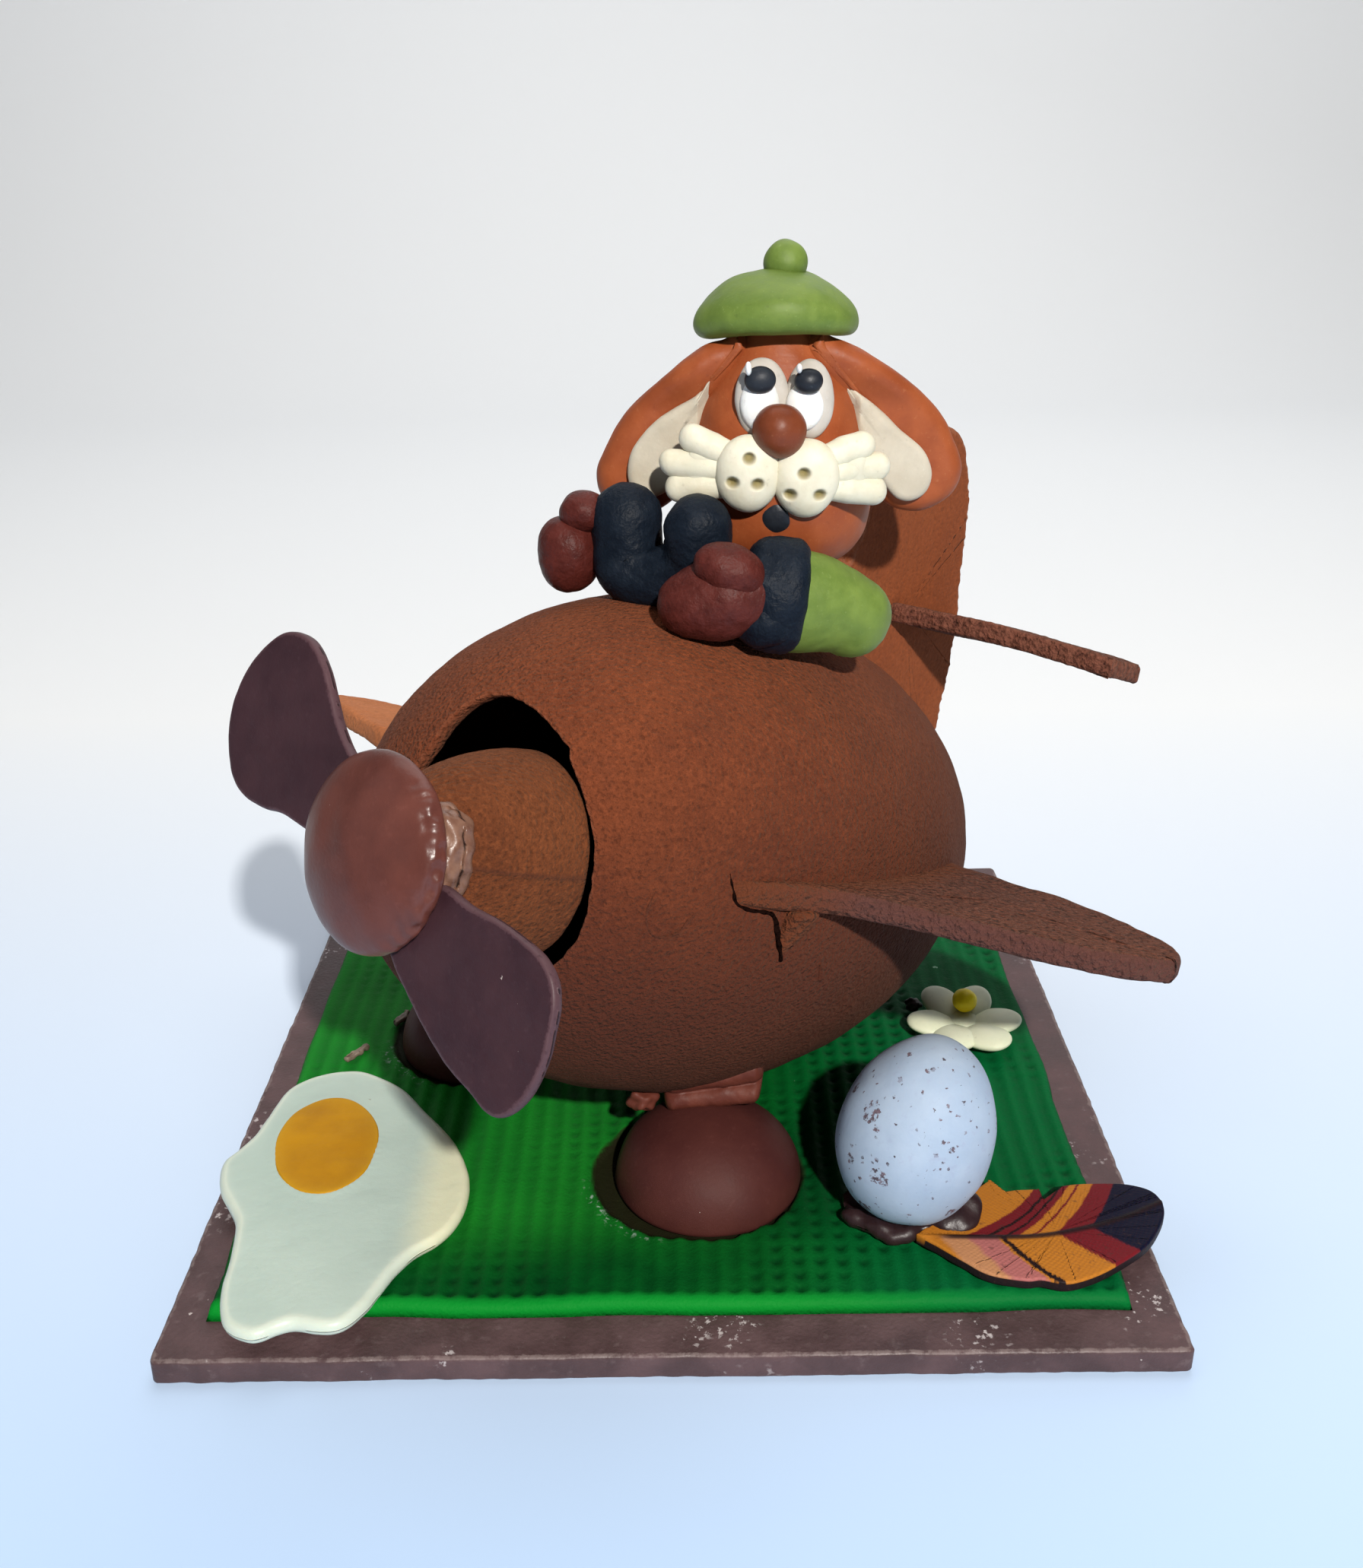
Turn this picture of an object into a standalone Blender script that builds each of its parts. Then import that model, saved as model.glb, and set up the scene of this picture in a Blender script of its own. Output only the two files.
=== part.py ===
"""Chocolate airplane on a chocolate slab, with a marzipan rabbit pilot and sugar decorations. Built in metres, +Z up."""
import math
import random

import bmesh
import bpy
import numpy as np
from mathutils import Vector

# ---------------------------------------------------------------- driving dimensions, mm and degrees
MM = 0.001
GAP = 0.3                      # clearance between pieces that touch
FACETS = 0.6                  # share of the facet counts asked for below

SLAB_SIDE = 200.0              # square chocolate slab
SLAB_T = 5.6
MAT_X = (-92.0, 91.0)          # green sugar mat
MAT_Y = (-89.5, 90.0)
MAT_TOP = 9.0
MAT_VALLEY = 0.7               # depth between ridges
MAT_PITCH = 4.36               # ridge spacing
POCKET_R = 20.9                # round pockets that hold the wheels
POCKET_FLOOR = 7.2

EGG_C = (0.4, -7.1, 69.6)      # fuselage egg centre
EGG_YAW = 44.0                 # nose direction, from the front towards the left
EGG_PITCH = 18.0               # nose up
EGG_FRONT = 78.0               # half length towards the nose
EGG_BACK = 90.2                # half length towards the tail
EGG_R = 56.2
EGG_WALL = 3.0

NOSE_C = (-27.9, -58.0, 91.7)  # centre of the nose cone's open-side rim
NOSE_YAW = 42.0
NOSE_PITCH = 22.0
NOSE_RW = 18.4                 # rim half width, across
NOSE_RU = 20.6                 # rim half height
NOSE_LEN = 35.5                # half length of the small egg
NOSE_END = 31.0                # where its tip is melted flat
SPIN_R = 18.0
SPIN_BACK = 34.1
SPIN_DOME = 7.4
BLADE_T0 = 31.5
BLADE_T1 = 33.7

WING_TOP = 8.5                 # height of the wing's upper face above the egg's axis
WING_T = 5.0
FIN_T = 5.0
STAB_T = 4.7
STAB_TOP = 61.1

WHEEL_R = 20.3                 # each wheel is a half egg lying flat side down
WHEEL_H = 17.3
WHEEL_NEAR = (8.0, -49.6, 7.5)
WHEEL_FAR = (-47.8, 5.2, 7.5)

HEAD_X, HEAD_Y = 24.6, 8.0
HEAD_DEPTH = 0.96              # depth over width
HEAD_PROFILE = ((128.8, 0), (129.3, 5), (130.7, 10.4), (133.4, 15.7), (137.5, 19.1), (142.4, 20.6), (148, 20.7),
                (156, 19.6), (165, 17.3), (172, 13.9), (177, 10.8), (182, 7.0), (185, 3.4), (186, 0))


# ---------------------------------------------------------------- helpers
for old in list(bpy.data.objects):
    bpy.data.objects.remove(old, do_unlink=True)
bpy.context.scene.unit_settings.system = "METRIC"
bpy.context.scene.unit_settings.scale_length = 1.0
rng = random.Random(7)


def facets(n, least=6):
    return max(least, int(round(n * FACETS)))


def axes(yaw, pitch):
    """(forward, right, up) of a frame whose forward points to the front-left and up."""
    p, t = math.radians(yaw), math.radians(pitch)
    a = np.array([-math.sin(p) * math.cos(t), -math.cos(p) * math.cos(t), math.sin(t)])
    w = np.array([math.cos(p), -math.sin(p), 0.0])
    u = np.cross(a, w)
    return a, w, (u if u[2] > 0 else -u)


X, Y, Z = np.eye(3)
EC = np.array(EGG_C)
EA, EW, EU = axes(EGG_YAW, EGG_PITCH)
NC = np.array(NOSE_C)
NA, NW, NU = axes(NOSE_YAW, NOSE_PITCH)

PAINT = {}


def paint(name, colour, rough):
    mat = bpy.data.materials.new(name)
    mat.use_nodes = True
    shader = mat.node_tree.nodes["Principled BSDF"]
    shader.inputs["Base Color"].default_value = (*colour, 1)
    shader.inputs["Roughness"].default_value = rough
    PAINT[name] = mat


paint("cocoa", (0.24, 0.075, 0.028), 0.9)
paint("dark_choc", (0.055, 0.022, 0.020), 0.35)
paint("slab_choc", (0.10, 0.042, 0.030), 0.55)
paint("grass", (0.01, 0.19, 0.03), 0.35)
paint("marz_brown", (0.42, 0.12, 0.035), 0.5)
paint("marz_cream", (0.80, 0.74, 0.50), 0.45)
paint("marz_white", (0.85, 0.85, 0.85), 0.35)
paint("marz_grey", (0.50, 0.47, 0.42), 0.5)
paint("marz_black", (0.01, 0.012, 0.016), 0.5)
paint("navy", (0.010, 0.016, 0.028), 0.5)
paint("maroon", (0.12, 0.018, 0.012), 0.5)
paint("marz_green", (0.19, 0.34, 0.055), 0.5)
paint("white_choc", (0.66, 0.75, 0.62), 0.3)
paint("yolk", (0.65, 0.33, 0.01), 0.4)
paint("sky", (0.55, 0.68, 0.80), 0.4)
paint("feather", (0.45, 0.10, 0.04), 0.3)
paint("petal", (0.75, 0.78, 0.55), 0.5)
paint("yellow", (0.80, 0.65, 0.01), 0.5)


def solid(name, points, faces, colour):
    """Object from points in mm; normals are turned outwards."""
    mesh = bpy.data.meshes.new(name)
    mesh.from_pydata([tuple(float(v) * MM for v in p) for p in points], [], faces)
    bm = bmesh.new()
    bm.from_mesh(mesh)
    bmesh.ops.remove_doubles(bm, verts=bm.verts, dist=1e-7)
    bmesh.ops.recalc_face_normals(bm, faces=bm.faces)
    if bm.calc_volume(signed=True) < 0:
        bmesh.ops.reverse_faces(bm, faces=bm.faces)
    bm.to_mesh(mesh)
    bm.free()
    obj = bpy.data.objects.new(name, mesh)
    bpy.context.scene.collection.objects.link(obj)
    mesh.materials.append(PAINT[colour])
    return obj


def rings(loops, closed=False):
    """Points and faces joining equal rings in turn, with a cap or a pole at each end."""
    n = len(loops[0])
    points = [p for loop in loops for p in loop]
    faces = []
    last = len(loops) if closed else len(loops) - 1
    for i in range(last):
        j = (i + 1) % len(loops)
        for k in range(n):
            m = (k + 1) % n
            faces.append((i * n + k, i * n + m, j * n + m, j * n + k))
    if not closed:
        faces.append(tuple(range(n)))
        faces.append(tuple(range((len(loops) - 1) * n, len(loops) * n)))
    return points, faces


def lathe(name, origin, axis, e1, e2, profile, colour, seg=20, s1=1.0, s2=1.0):
    """Turned solid: profile holds (distance along axis, radius); end radii of 0 make poles."""
    seg = facets(seg)
    ang = [2 * math.pi * k / seg for k in range(seg)]
    o = np.asarray(origin, float)
    start, stop = profile[0][1] <= 1e-9, profile[-1][1] <= 1e-9
    body = [p for p in profile if p[1] > 1e-9]
    pts = [o + t * axis + r * (s1 * math.cos(q) * e1 + s2 * math.sin(q) * e2) for t, r in body for q in ang]
    faces = [(i * seg + k, i * seg + (k + 1) % seg, (i + 1) * seg + (k + 1) % seg, (i + 1) * seg + k)
             for i in range(len(body) - 1) for k in range(seg)]
    for end, row in ((start, 0), (stop, len(body) - 1)):
        if end:
            pts.append(o + profile[0 if row == 0 else -1][0] * axis)
            tip = len(pts) - 1
            faces += [(row * seg + k, row * seg + (k + 1) % seg, tip) for k in range(seg)]
        else:
            faces.append(tuple(row * seg + k for k in range(seg)))
    return solid(name, pts, faces, colour)


def dome(half, r, n, flat=1.0):
    """Profile of half an ellipsoid from its pole to its equator."""
    return [(half * math.cos(q), r * math.sin(q) ** flat) for q in np.linspace(0, math.pi / 2, n)]


def blob(name, centre, semi, colour, e=(X, Y, Z), seg=16, rows=10, taper=0.0):
    """Ellipsoid with semi axes along e; taper narrows the end of the third axis."""
    c = np.asarray(centre, float)
    prof = []
    for q in np.linspace(0, math.pi, facets(rows, 5) + 1):
        z = -math.cos(q)
        prof.append((semi[2] * z, max(0.0, math.sin(q)) * (1 - taper * z) if 1e-6 < q < math.pi - 1e-6 else 0.0))
    return lathe(name, c, e[2], e[0], e[1], prof, colour, seg, semi[0], semi[1])


def smooth(points, n):
    """Closed Catmull-Rom curve through 2-D points, n samples spaced evenly along it."""
    p = np.asarray(points, float)
    dense = []
    for i in range(len(p)):
        p0, p1, p2, p3 = (p[(i + k) % len(p)] for k in (-1, 0, 1, 2))
        for t in np.linspace(0, 1, 12, endpoint=False):
            dense.append(0.5 * (2 * p1 + (p2 - p0) * t + (2 * p0 - 5 * p1 + 4 * p2 - p3) * t * t
                                + (3 * p1 - p0 - 3 * p2 + p3) * t ** 3))
    dense = np.array(dense + [dense[0]])
    s = np.concatenate([[0], np.cumsum(np.linalg.norm(np.diff(dense, axis=0), axis=1))])
    want = np.linspace(0, s[-1], facets(n), endpoint=False)
    return np.stack([np.interp(want, s, dense[:, k]) for k in (0, 1)], 1)


def inset(poly, d):
    """Outline moved inwards by d along its own normals."""
    nxt, prv = np.roll(poly, -1, 0), np.roll(poly, 1, 0)
    t = nxt - prv
    t /= np.linalg.norm(t, axis=1)[:, None] + 1e-12
    nrm = np.stack([-t[:, 1], t[:, 0]], 1)
    area = 0.5 * np.sum(poly[:, 0] * nxt[:, 1] - nxt[:, 0] * poly[:, 1])
    return poly + nrm * d * (1 if area > 0 else -1)


def plate(name, origin, e1, e2, n, outline, low, high, colour, edge=0.6, lift=None):
    """Flat piece with eased edges: outline in (e1, e2), from low to high along n; lift bends it along n."""
    o = np.asarray(origin, float)
    outline = np.asarray(outline, float)
    loops = []
    for h, d in ((low, edge), (low + edge, 0), (high - edge, 0), (high, edge)):
        poly = inset(outline, d) if d else outline
        loops.append([o + x * e1 + y * e2 + (h + (lift(x, y) if lift else 0)) * n for x, y in poly])
    return solid(name, *rings(loops), colour)


def pad(name, origin, e1, e2, n, outline, low, high, colour, steps=4, power=0.5, round_=4.0):
    """Cushion with a round edge: its outline shrinks towards both faces."""
    o = np.asarray(origin, float)
    outline = np.asarray(outline, float)
    mid, half = (low + high) / 2, (high - low) / 2
    loops = []
    for q in np.linspace(-1, 1, 2 * steps - 1):
        d = round_ * (1 - math.sqrt(max(0.0, 1 - (abs(q) * 0.985) ** 2)))
        loops.append([o + x * e1 + y * e2 + (mid + q * half) * n for x, y in inset(outline, d)])
    return solid(name, *rings(loops), colour)


def tube(name, path, radii, colour, seg=12, squash=1.0):
    """Roll with round ends along a path; squash flattens it across."""
    p = np.asarray(path, float)
    seg = facets(seg, 8)
    loops = []
    ends = []
    count = len(p)
    for i in range(count):
        t = p[min(i + 1, count - 1)] - p[max(i - 1, 0)]
        t /= np.linalg.norm(t)
        side = np.cross(t, Y)
        side = side / np.linalg.norm(side) if np.linalg.norm(side) > 1e-3 else X
        other = np.cross(side, t)
        ends.append((t, side, other))
    for sign, i in ((-1, 0), (1, count - 1)):
        t, side, other = ends[i]
        caps = []
        for q in (0.97, 0.8, 0.45):
            r = radii[i] * math.sqrt(1 - q * q)
            centre = p[i] + sign * q * radii[i] * t
            caps.append([centre + r * (math.cos(k) * side + squash * math.sin(k) * other)
                         for k in np.linspace(0, 2 * math.pi, seg, endpoint=False)])
        if sign < 0:
            loops += caps
        else:
            tail = caps[::-1]
    for i in range(count):
        t, side, other = ends[i]
        loops.append([p[i] + radii[i] * (math.cos(k) * side + squash * math.sin(k) * other)
                      for k in np.linspace(0, 2 * math.pi, seg, endpoint=False)])
    return solid(name, *rings(loops + tail), colour)


def boolean(obj, other, how):
    """Boolean of two closed meshes, tried with each solver until the result has faces."""
    keep = obj.data.materials[0]
    for solver in ("MANIFOLD", "EXACT"):
        mod = obj.modifiers.new("b", "BOOLEAN")
        mod.operation = how
        mod.solver = solver
        mod.object = other
        bpy.context.view_layer.update()
        made = bpy.data.meshes.new_from_object(obj.evaluated_get(bpy.context.evaluated_depsgraph_get()))
        obj.modifiers.clear()
        if len(made.polygons):
            break
    obj.data = made
    made.materials.clear()
    made.materials.append(keep)
    return obj


def biggest(obj):
    """Drops loose scraps that a cut leaves."""
    bm = bmesh.new()
    bm.from_mesh(obj.data)
    bmesh.ops.remove_doubles(bm, verts=bm.verts, dist=2e-6)
    bmesh.ops.dissolve_degenerate(bm, dist=1e-6, edges=bm.edges)
    left = set(bm.verts)
    parts = []
    while left:
        stack = [left.pop()]
        part = set(stack)
        while stack:
            v = stack.pop()
            for e in v.link_edges:
                w = e.other_vert(v)
                if w in left:
                    left.discard(w)
                    part.add(w)
                    stack.append(w)
        parts.append(part)
    if len(parts) > 1:
        parts.sort(key=len)
        for part in parts[:-1]:
            bmesh.ops.delete(bm, geom=list(part), context="VERTS")
    bm.to_mesh(obj.data)
    bm.free()


def grown(obj, by=GAP):
    """Copy of a piece, moved out along its normals."""
    mesh = obj.data.copy()
    bm = bmesh.new()
    bm.from_mesh(mesh)
    bm.normal_update()
    move = [(v, v.normal.copy()) for v in bm.verts]
    for v, nrm in move:
        v.co = v.co + nrm * (by * MM)
    bm.to_mesh(mesh)
    bm.free()
    other = bpy.data.objects.new(obj.name + "_grown", mesh)
    bpy.context.scene.collection.objects.link(other)
    return other


def box_of(obj):
    co = np.array([v.co for v in obj.data.vertices])
    return co.min(0), co.max(0)


def near(a, b):
    (al, ah), (bl, bh) = box_of(a), box_of(b)
    m = GAP * MM
    return bool(np.all(al - m < bh) and np.all(bl - m < ah))


def clear(obj, *others):
    """Cuts obj back to GAP from each of the others."""
    for other in others:
        if near(obj, other):
            cutter = grown(other)
            boolean(obj, cutter, "DIFFERENCE")
            bpy.data.objects.remove(cutter, do_unlink=True)
            biggest(obj)
    return obj


def cut(obj, *cutters):
    for c in cutters:
        boolean(obj, c, "DIFFERENCE")
        bpy.data.objects.remove(c, do_unlink=True)
    biggest(obj)
    return obj


def join(obj, *others):
    for o in others:
        boolean(obj, o, "UNION")
        bpy.data.objects.remove(o, do_unlink=True)
    biggest(obj)
    return obj


# ---------------------------------------------------------------- slab and mat
h = SLAB_SIDE / 2
edge = []
for (x0, y0), (x1, y1) in (((-h, -h), (h, -h)), ((h, -h), (h, h)), ((h, h), (-h, h)), ((-h, h), (-h, -h))):
    for k in range(10):
        f = k / 10
        wob = 0.0 if k == 0 else rng.uniform(-0.45, 0.2)
        x, y = x0 + (x1 - x0) * f, y0 + (y1 - y0) * f
        nx, ny = (y1 - y0) / SLAB_SIDE, -(x1 - x0) / SLAB_SIDE
        edge.append((x + nx * wob, y + ny * wob))
slab = plate("base_slab", (0, 0, 0), X, Y, Z, edge, 0, SLAB_T, "slab_choc", edge=0.7)

ridges = int(round((MAT_X[1] - MAT_X[0]) / MAT_PITCH))
pitch = (MAT_X[1] - MAT_X[0]) / ridges
line = [(MAT_X[0], SLAB_T + GAP)]
for k in range(ridges):
    x = MAT_X[0] + k * pitch
    line += [(x, MAT_TOP - MAT_VALLEY), (x + pitch * 0.5, MAT_TOP)]
line += [(MAT_X[1], MAT_TOP - MAT_VALLEY), (MAT_X[1], SLAB_T + GAP)]
mat_loops = []
for y, top in ((MAT_Y[0], 7.6), (MAT_Y[0] + 2.5, 8.8), (MAT_Y[1] - 2.5, 8.8), (MAT_Y[1], 7.8)):
    mat_loops.append([np.array([x, y, min(z, top)]) for x, z in line])
mat = solid("grass_mat", *rings(mat_loops), "grass")
for c, slide in ((WHEEL_NEAR, 4.9), (WHEEL_FAR, 2.0)):
    for x in (c[0], c[0] - slide):
        pocket = lathe("pocket", (x, c[1], 0), Z, X, Y, [(POCKET_FLOOR, POCKET_R - 0.2), (20, POCKET_R)], "grass", 32)
        cut(mat, pocket)

# ---------------------------------------------------------------- fuselage egg, hollow, with the nose opening
def egg_profile(off, n):
    back = [(-(EGG_BACK + off) * math.cos(q), (EGG_R + off) * math.sin(q)) for q in np.linspace(0, math.pi / 2, n)]
    front = [((EGG_FRONT + off) * math.cos(q), (EGG_R + off) * math.sin(q)) for q in np.linspace(math.pi / 2, 0, n)]
    prof = back + front[1:]
    prof[0], prof[-1] = (prof[0][0], 0.0), (prof[-1][0], 0.0)
    return prof


def egg_solid(name, off, n, seg):
    return lathe(name, EC, EA, EW, EU, egg_profile(off, n), "cocoa", seg)


OPENING = ((-17.8, 14.6), (-17.8, 18.1), (-17.4, 21.7), (-16.1, 25.3), (-13.6, 28.1), (-10.4, 29.3), (-6.3, 29.3),
           (-1.0, 28.3), (4.3, 25.7), (8.8, 22.3), (13.1, 17.6), (16.5, 12.7), (18.8, 8.2), (20.2, 1.5), (20.5, -4.3),
           (19.8, -9.1), (18.5, -12.9), (16.3, -16.6), (11.0, -20.0), (4.0, -21.6), (-4.0, -21.5), (-11.0, -19.0),
           (-17.0, -13.5), (-20.2, -6.5), (-21.0, 1.0), (-19.8, 8.0))
fuselage = egg_solid("fuselage", 0, 11, 50)
mouth_cut = plate("opening", NC, NW, NU, NA, smooth(OPENING, 36), -34, 45, "cocoa", edge=0.01)
cut(fuselage, egg_solid("inner", -EGG_WALL, 7, 30), mouth_cut)
egg_skin = egg_solid("egg_skin", 0, 11, 50)

# ---------------------------------------------------------------- nose cone, propeller
prof = [(0.0, NOSE_RU - 1.0), (0.8, NOSE_RU)]
for t in (6, 12, 18, 24, 28, NOSE_END):
    prof.append((t, NOSE_RU * math.sqrt(1 - (t / NOSE_LEN) ** 2)))
nose_cone = lathe("nose_cone", NC, NA, NW, NU, prof, "cocoa", 28, NOSE_RW / NOSE_RU, 1.0)
prof = [(SPIN_BACK, 0.0), (SPIN_BACK, SPIN_R - 1.6), (SPIN_BACK + 0.8, SPIN_R - 0.3), (SPIN_BACK + 1.9, SPIN_R)]
prof += [(SPIN_BACK + 1.9 + (SPIN_DOME - 1.9) * math.sin(q), SPIN_R * math.cos(q)) for q in
         np.linspace(0.25, math.pi / 2 - 0.12, 6)] + [(SPIN_BACK + SPIN_DOME, 0.0)]
spinner = lathe("spinner", NC, NA, NW, NU, prof, "dark_choc", 28)
UPPER = ((-39, 31.6), (-32.5, 31.3), (-27, 27.6), (-23, 22.8), (-20, 19), (-15, 14.6), (-7, 10), (-1.2, 7), (-1.0, -2),
         (-2, -8), (-10, -6.5), (-17, -3.5), (-24.6, -2.3), (-30.7, -1.7), (-36, -2.3), (-42, -1.9), (-46.8, 0.2),
         (-50, 4.2), (-52, 9.8), (-52, 16), (-49.5, 22.7), (-44, 29))
LOWER = ((13.2, -0.2), (18, -1.1), (23.5, -2.2), (30.3, -2.3), (36.2, -3.2), (41.5, -4.7), (45.1, -7.4),
         (46.8, -11.3), (47.1, -15.7), (47.2, -19.6), (45.9, -25.4), (43.4, -29.9), (40.3, -32.4), (37, -32.6),
         (33.2, -31.2), (26.6, -29.2), (20, -25.7), (14.2, -21.8), (8, -17.2), (3, -11), (1.0, -5), (1.2, 3), (6, 3.5))
blade_upper = plate("blade_upper", NC, NW, NU, NA, smooth(UPPER, 40), BLADE_T0, BLADE_T1, "dark_choc", edge=0.4)
blade_lower = plate("blade_lower", NC, NW, NU, NA, smooth(LOWER, 40), BLADE_T0, BLADE_T1, "dark_choc", edge=0.4)
GLUE = ((6, 10), (12, 12), (16.5, 10), (18.6, 5.5), (18.9, 0.5), (17.2, -3.5), (12, -5), (7, -4))
spinner_glue = pad("spinner_glue", NC, NW, NU, NA, smooth(GLUE, 18), 27.0, 33.9, "dark_choc", 3, round_=2.2)
clear(spinner_glue, spinner, blade_upper, blade_lower, nose_cone)

# ---------------------------------------------------------------- wings, fin, stabilisers
NEAR_WING = ((40, 40), (50, 35.5), (58, 19), (64.7, 12.1), (76.2, 3.7), (90.8, -6.1), (99.3, -12.2), (105.5, -19),
             (109, -26), (108.6, -32.7), (105.3, -37.5), (98.5, -43), (88.9, -46), (75.8, -46.2), (64.1, -43.4),
             (53.4, -41), (40, -38))
FAR_WING = ((-40, 40), (-52, 37.6), (-65.2, 35.7), (-73.8, 33.6), (-83.5, 31.5), (-95, 28.3), (-100.5, 25.6),
            (-102.3, 21), (-98.9, 12.6), (-92.5, 7.0), (-80, -5), (-66, -17), (-52, -26), (-40, -30))
wing_near = plate("wing_near", EC, EW, EA, EU, smooth(NEAR_WING, 44), WING_TOP - WING_T, WING_TOP, "cocoa", edge=1.1)
wing_far = plate("wing_far", EC, EW, EA, EU, smooth(FAR_WING, 40), WING_TOP - WING_T, WING_TOP, "cocoa", edge=1.1)
clear(wing_near, egg_skin)
clear(wing_far, egg_skin)
FILLET = ((52.5, 3.2), (57.5, 3.2), (55.5, -1.5), (53.6, -7.5), (51, -9), (49, -4))
wing_glue = plate("wing_glue", EC, EW, EU, EA, FILLET, 17.5, 24.5, "cocoa", edge=1.2)
clear(wing_glue, egg_skin, wing_near)

FIN = ((-41, 42), (-40, 60), (-41.5, 70), (-43.5, 76), (-45.5, 88), (-48.6, 98), (-54, 103.6), (-64, 106), (-73.2, 106.4),
       (-79, 104), (-84.6, 96.5), (-87.2, 91.5), (-89.2, 84), (-91.2, 76), (-93, 68.5), (-95.6, 60), (-96.8, 52),
       (-97.9, 45), (-97.5, 37), (-98, 31), (-97.6, 24.8), (-94, 16), (-84, 12), (-70, 20), (-52, 32))
tail_fin = plate("tail_fin", EC, EA, EU, EW, smooth(FIN, 48), -FIN_T / 2, FIN_T / 2, "cocoa", edge=0.9)
clear(tail_fin, egg_skin)


def droop(x, y):
    """The stabiliser falls a little towards its tip and its trailing edge."""
    x = abs(x)
    return 0.75 * math.sin(min(x, 36.0) / 36.0 * 1.9) - 0.0022 * max(0.0, x - 22.0) ** 1.85 + 0.055 * (y + 62.7 + 0.176 * x)


side = FIN_T / 2 + GAP
STAB = ((side, -62.7), (20, -65.7), (40, -69.3), (52, -71.4), (59.6, -72.7), (59.2, -78), (58.2, -91), (56, -93),
        (42, -94.5), (20, -95.5), (side, -95.5))


def even(points, n):
    """Straight-sided outline cut into short lengths."""
    p = np.asarray(points, float)
    q = np.vstack([p, p[:1]])
    s = np.concatenate([[0], np.cumsum(np.linalg.norm(np.diff(q, axis=0), axis=1))])
    want = np.unique(np.concatenate([np.linspace(0, s[-1], n, endpoint=False), s[:-1]]))
    return np.stack([np.interp(want, s, q[:, k]) for k in (0, 1)], 1)


stab_near = plate("stabiliser_near", EC, EW, EA, EU, even(STAB, 22), STAB_TOP - STAB_T, STAB_TOP, "cocoa", 0.9, droop)
far = [(-x, y) for x, y in STAB]
stab_far = plate("stabiliser_far", EC, EW, EA, EU, even(far, 22), STAB_TOP - STAB_T, STAB_TOP, "cocoa", 0.9, droop)

# ---------------------------------------------------------------- undercarriage
def half_egg(name, c):
    """Dome with a flat base and a small lip at the rim."""
    prof = [(0.0, WHEEL_R - 0.7), (0.9, WHEEL_R)]
    prof += [(0.9 + (WHEEL_H - 0.9) * math.sin(t), WHEEL_R * math.cos(t)) for t in np.linspace(0.12, math.pi / 2 - 0.1, 9)]
    return lathe(name, c, Z, X, Y, prof + [(WHEEL_H, 0.0)], "dark_choc", 34)


wheel_near = half_egg("wheel_near", WHEEL_NEAR)
wheel_far = half_egg("wheel_far", WHEEL_FAR)
clear(wheel_near, egg_skin)
clear(wheel_far, egg_skin)


def roll(name, a, b, r, deep, seg=16):
    """Straight roll with flat ends, deeper than it is tall."""
    a, b = np.asarray(a, float), np.asarray(b, float)
    n = (b - a) / np.linalg.norm(b - a)
    e2 = np.cross(n, Y)
    e2 /= np.linalg.norm(e2)
    e1 = np.cross(e2, n)
    section = [(deep * math.cos(q), r * math.sin(q)) for q in np.linspace(0, 2 * math.pi, seg, endpoint=False)]
    return plate(name, a, e1, e2, n, section, 0, float(np.linalg.norm(b - a)), "dark_choc", 0.7)


strut_near = roll("strut_near", (-1.6, -42.6, 24.7), (20.4, -42.6, 27.3), 3.3, 5.2)
join(strut_near, roll("ridge", (-1.9, -41.5, 29.2), (20.4, -41.5, 32.6), 3.8, 5.8))
clear(strut_near, egg_skin, wheel_near)
strut_far = roll("strut_far", (-56.0, 2.0, 27.3), (-38.0, 2.0, 26.0), 3.8, 6.0)
join(strut_far, roll("ridge", (-56.0, 2.6, 33.4), (-38.0, 2.6, 32.0), 4.0, 6.4))
join(strut_far, roll("top", (-56.0, 3.4, 38.6), (-38.0, 3.4, 37.0), 3.6, 6.0))
clear(strut_far, egg_skin, wheel_far)
nugget = blob("strut_nugget", (-6.0, -45.5, 25.3), (3.3, 2.6, 2.7), "dark_choc", seg=10, rows=6)
clear(nugget, egg_skin, wheel_near, strut_near)

# ---------------------------------------------------------------- pilot's head
head = lathe("head", (HEAD_X, HEAD_Y, 0), Z, X, Y, HEAD_PROFILE, "marz_brown", 28, 1.0, HEAD_DEPTH)
tilt = math.radians(14)
FACE_U = np.array([0, math.sin(tilt), math.cos(tilt)])
FACE_N = np.array([0, -math.cos(tilt), math.sin(tilt)])
muzzle = blob("muzzle_ball", (23.9, -13.0, 163.3), (5.4, 5.4, 5.4), "marz_brown", seg=16, rows=9)
clear(muzzle, head)
pad_left = blob("muzzle_left", (17.7, -12.3, 154.6), (6.6, 4.4, 7.9), "marz_cream", seg=20, rows=10)
pad_right = blob("muzzle_right", (29.4, -12.3, 153.6), (6.8, 4.4, 8.0), "marz_cream", seg=20, rows=10)
for one, holes in ((pad_left, ((17.7, 158.4), (14.4, 153.6), (19.4, 153.3))),
                   (pad_right, ((28.7, 155.3), (26.0, 151.0), (32.0, 150.8)))):
    for x, z in holes:
        cut(one, lathe("pit", (x, -14.0, z), -Y, X, Z, [(0, 0.9), (6, 1.3)], "marz_cream", 8))
clear(pad_left, head, muzzle)
clear(pad_right, head, muzzle, pad_left)
mouth = blob("mouth", (23.6, -10.6, 145.7), (3.2, 2.0, 3.5), "marz_black", seg=12, rows=8)
clear(mouth, head, pad_left, pad_right)

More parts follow.
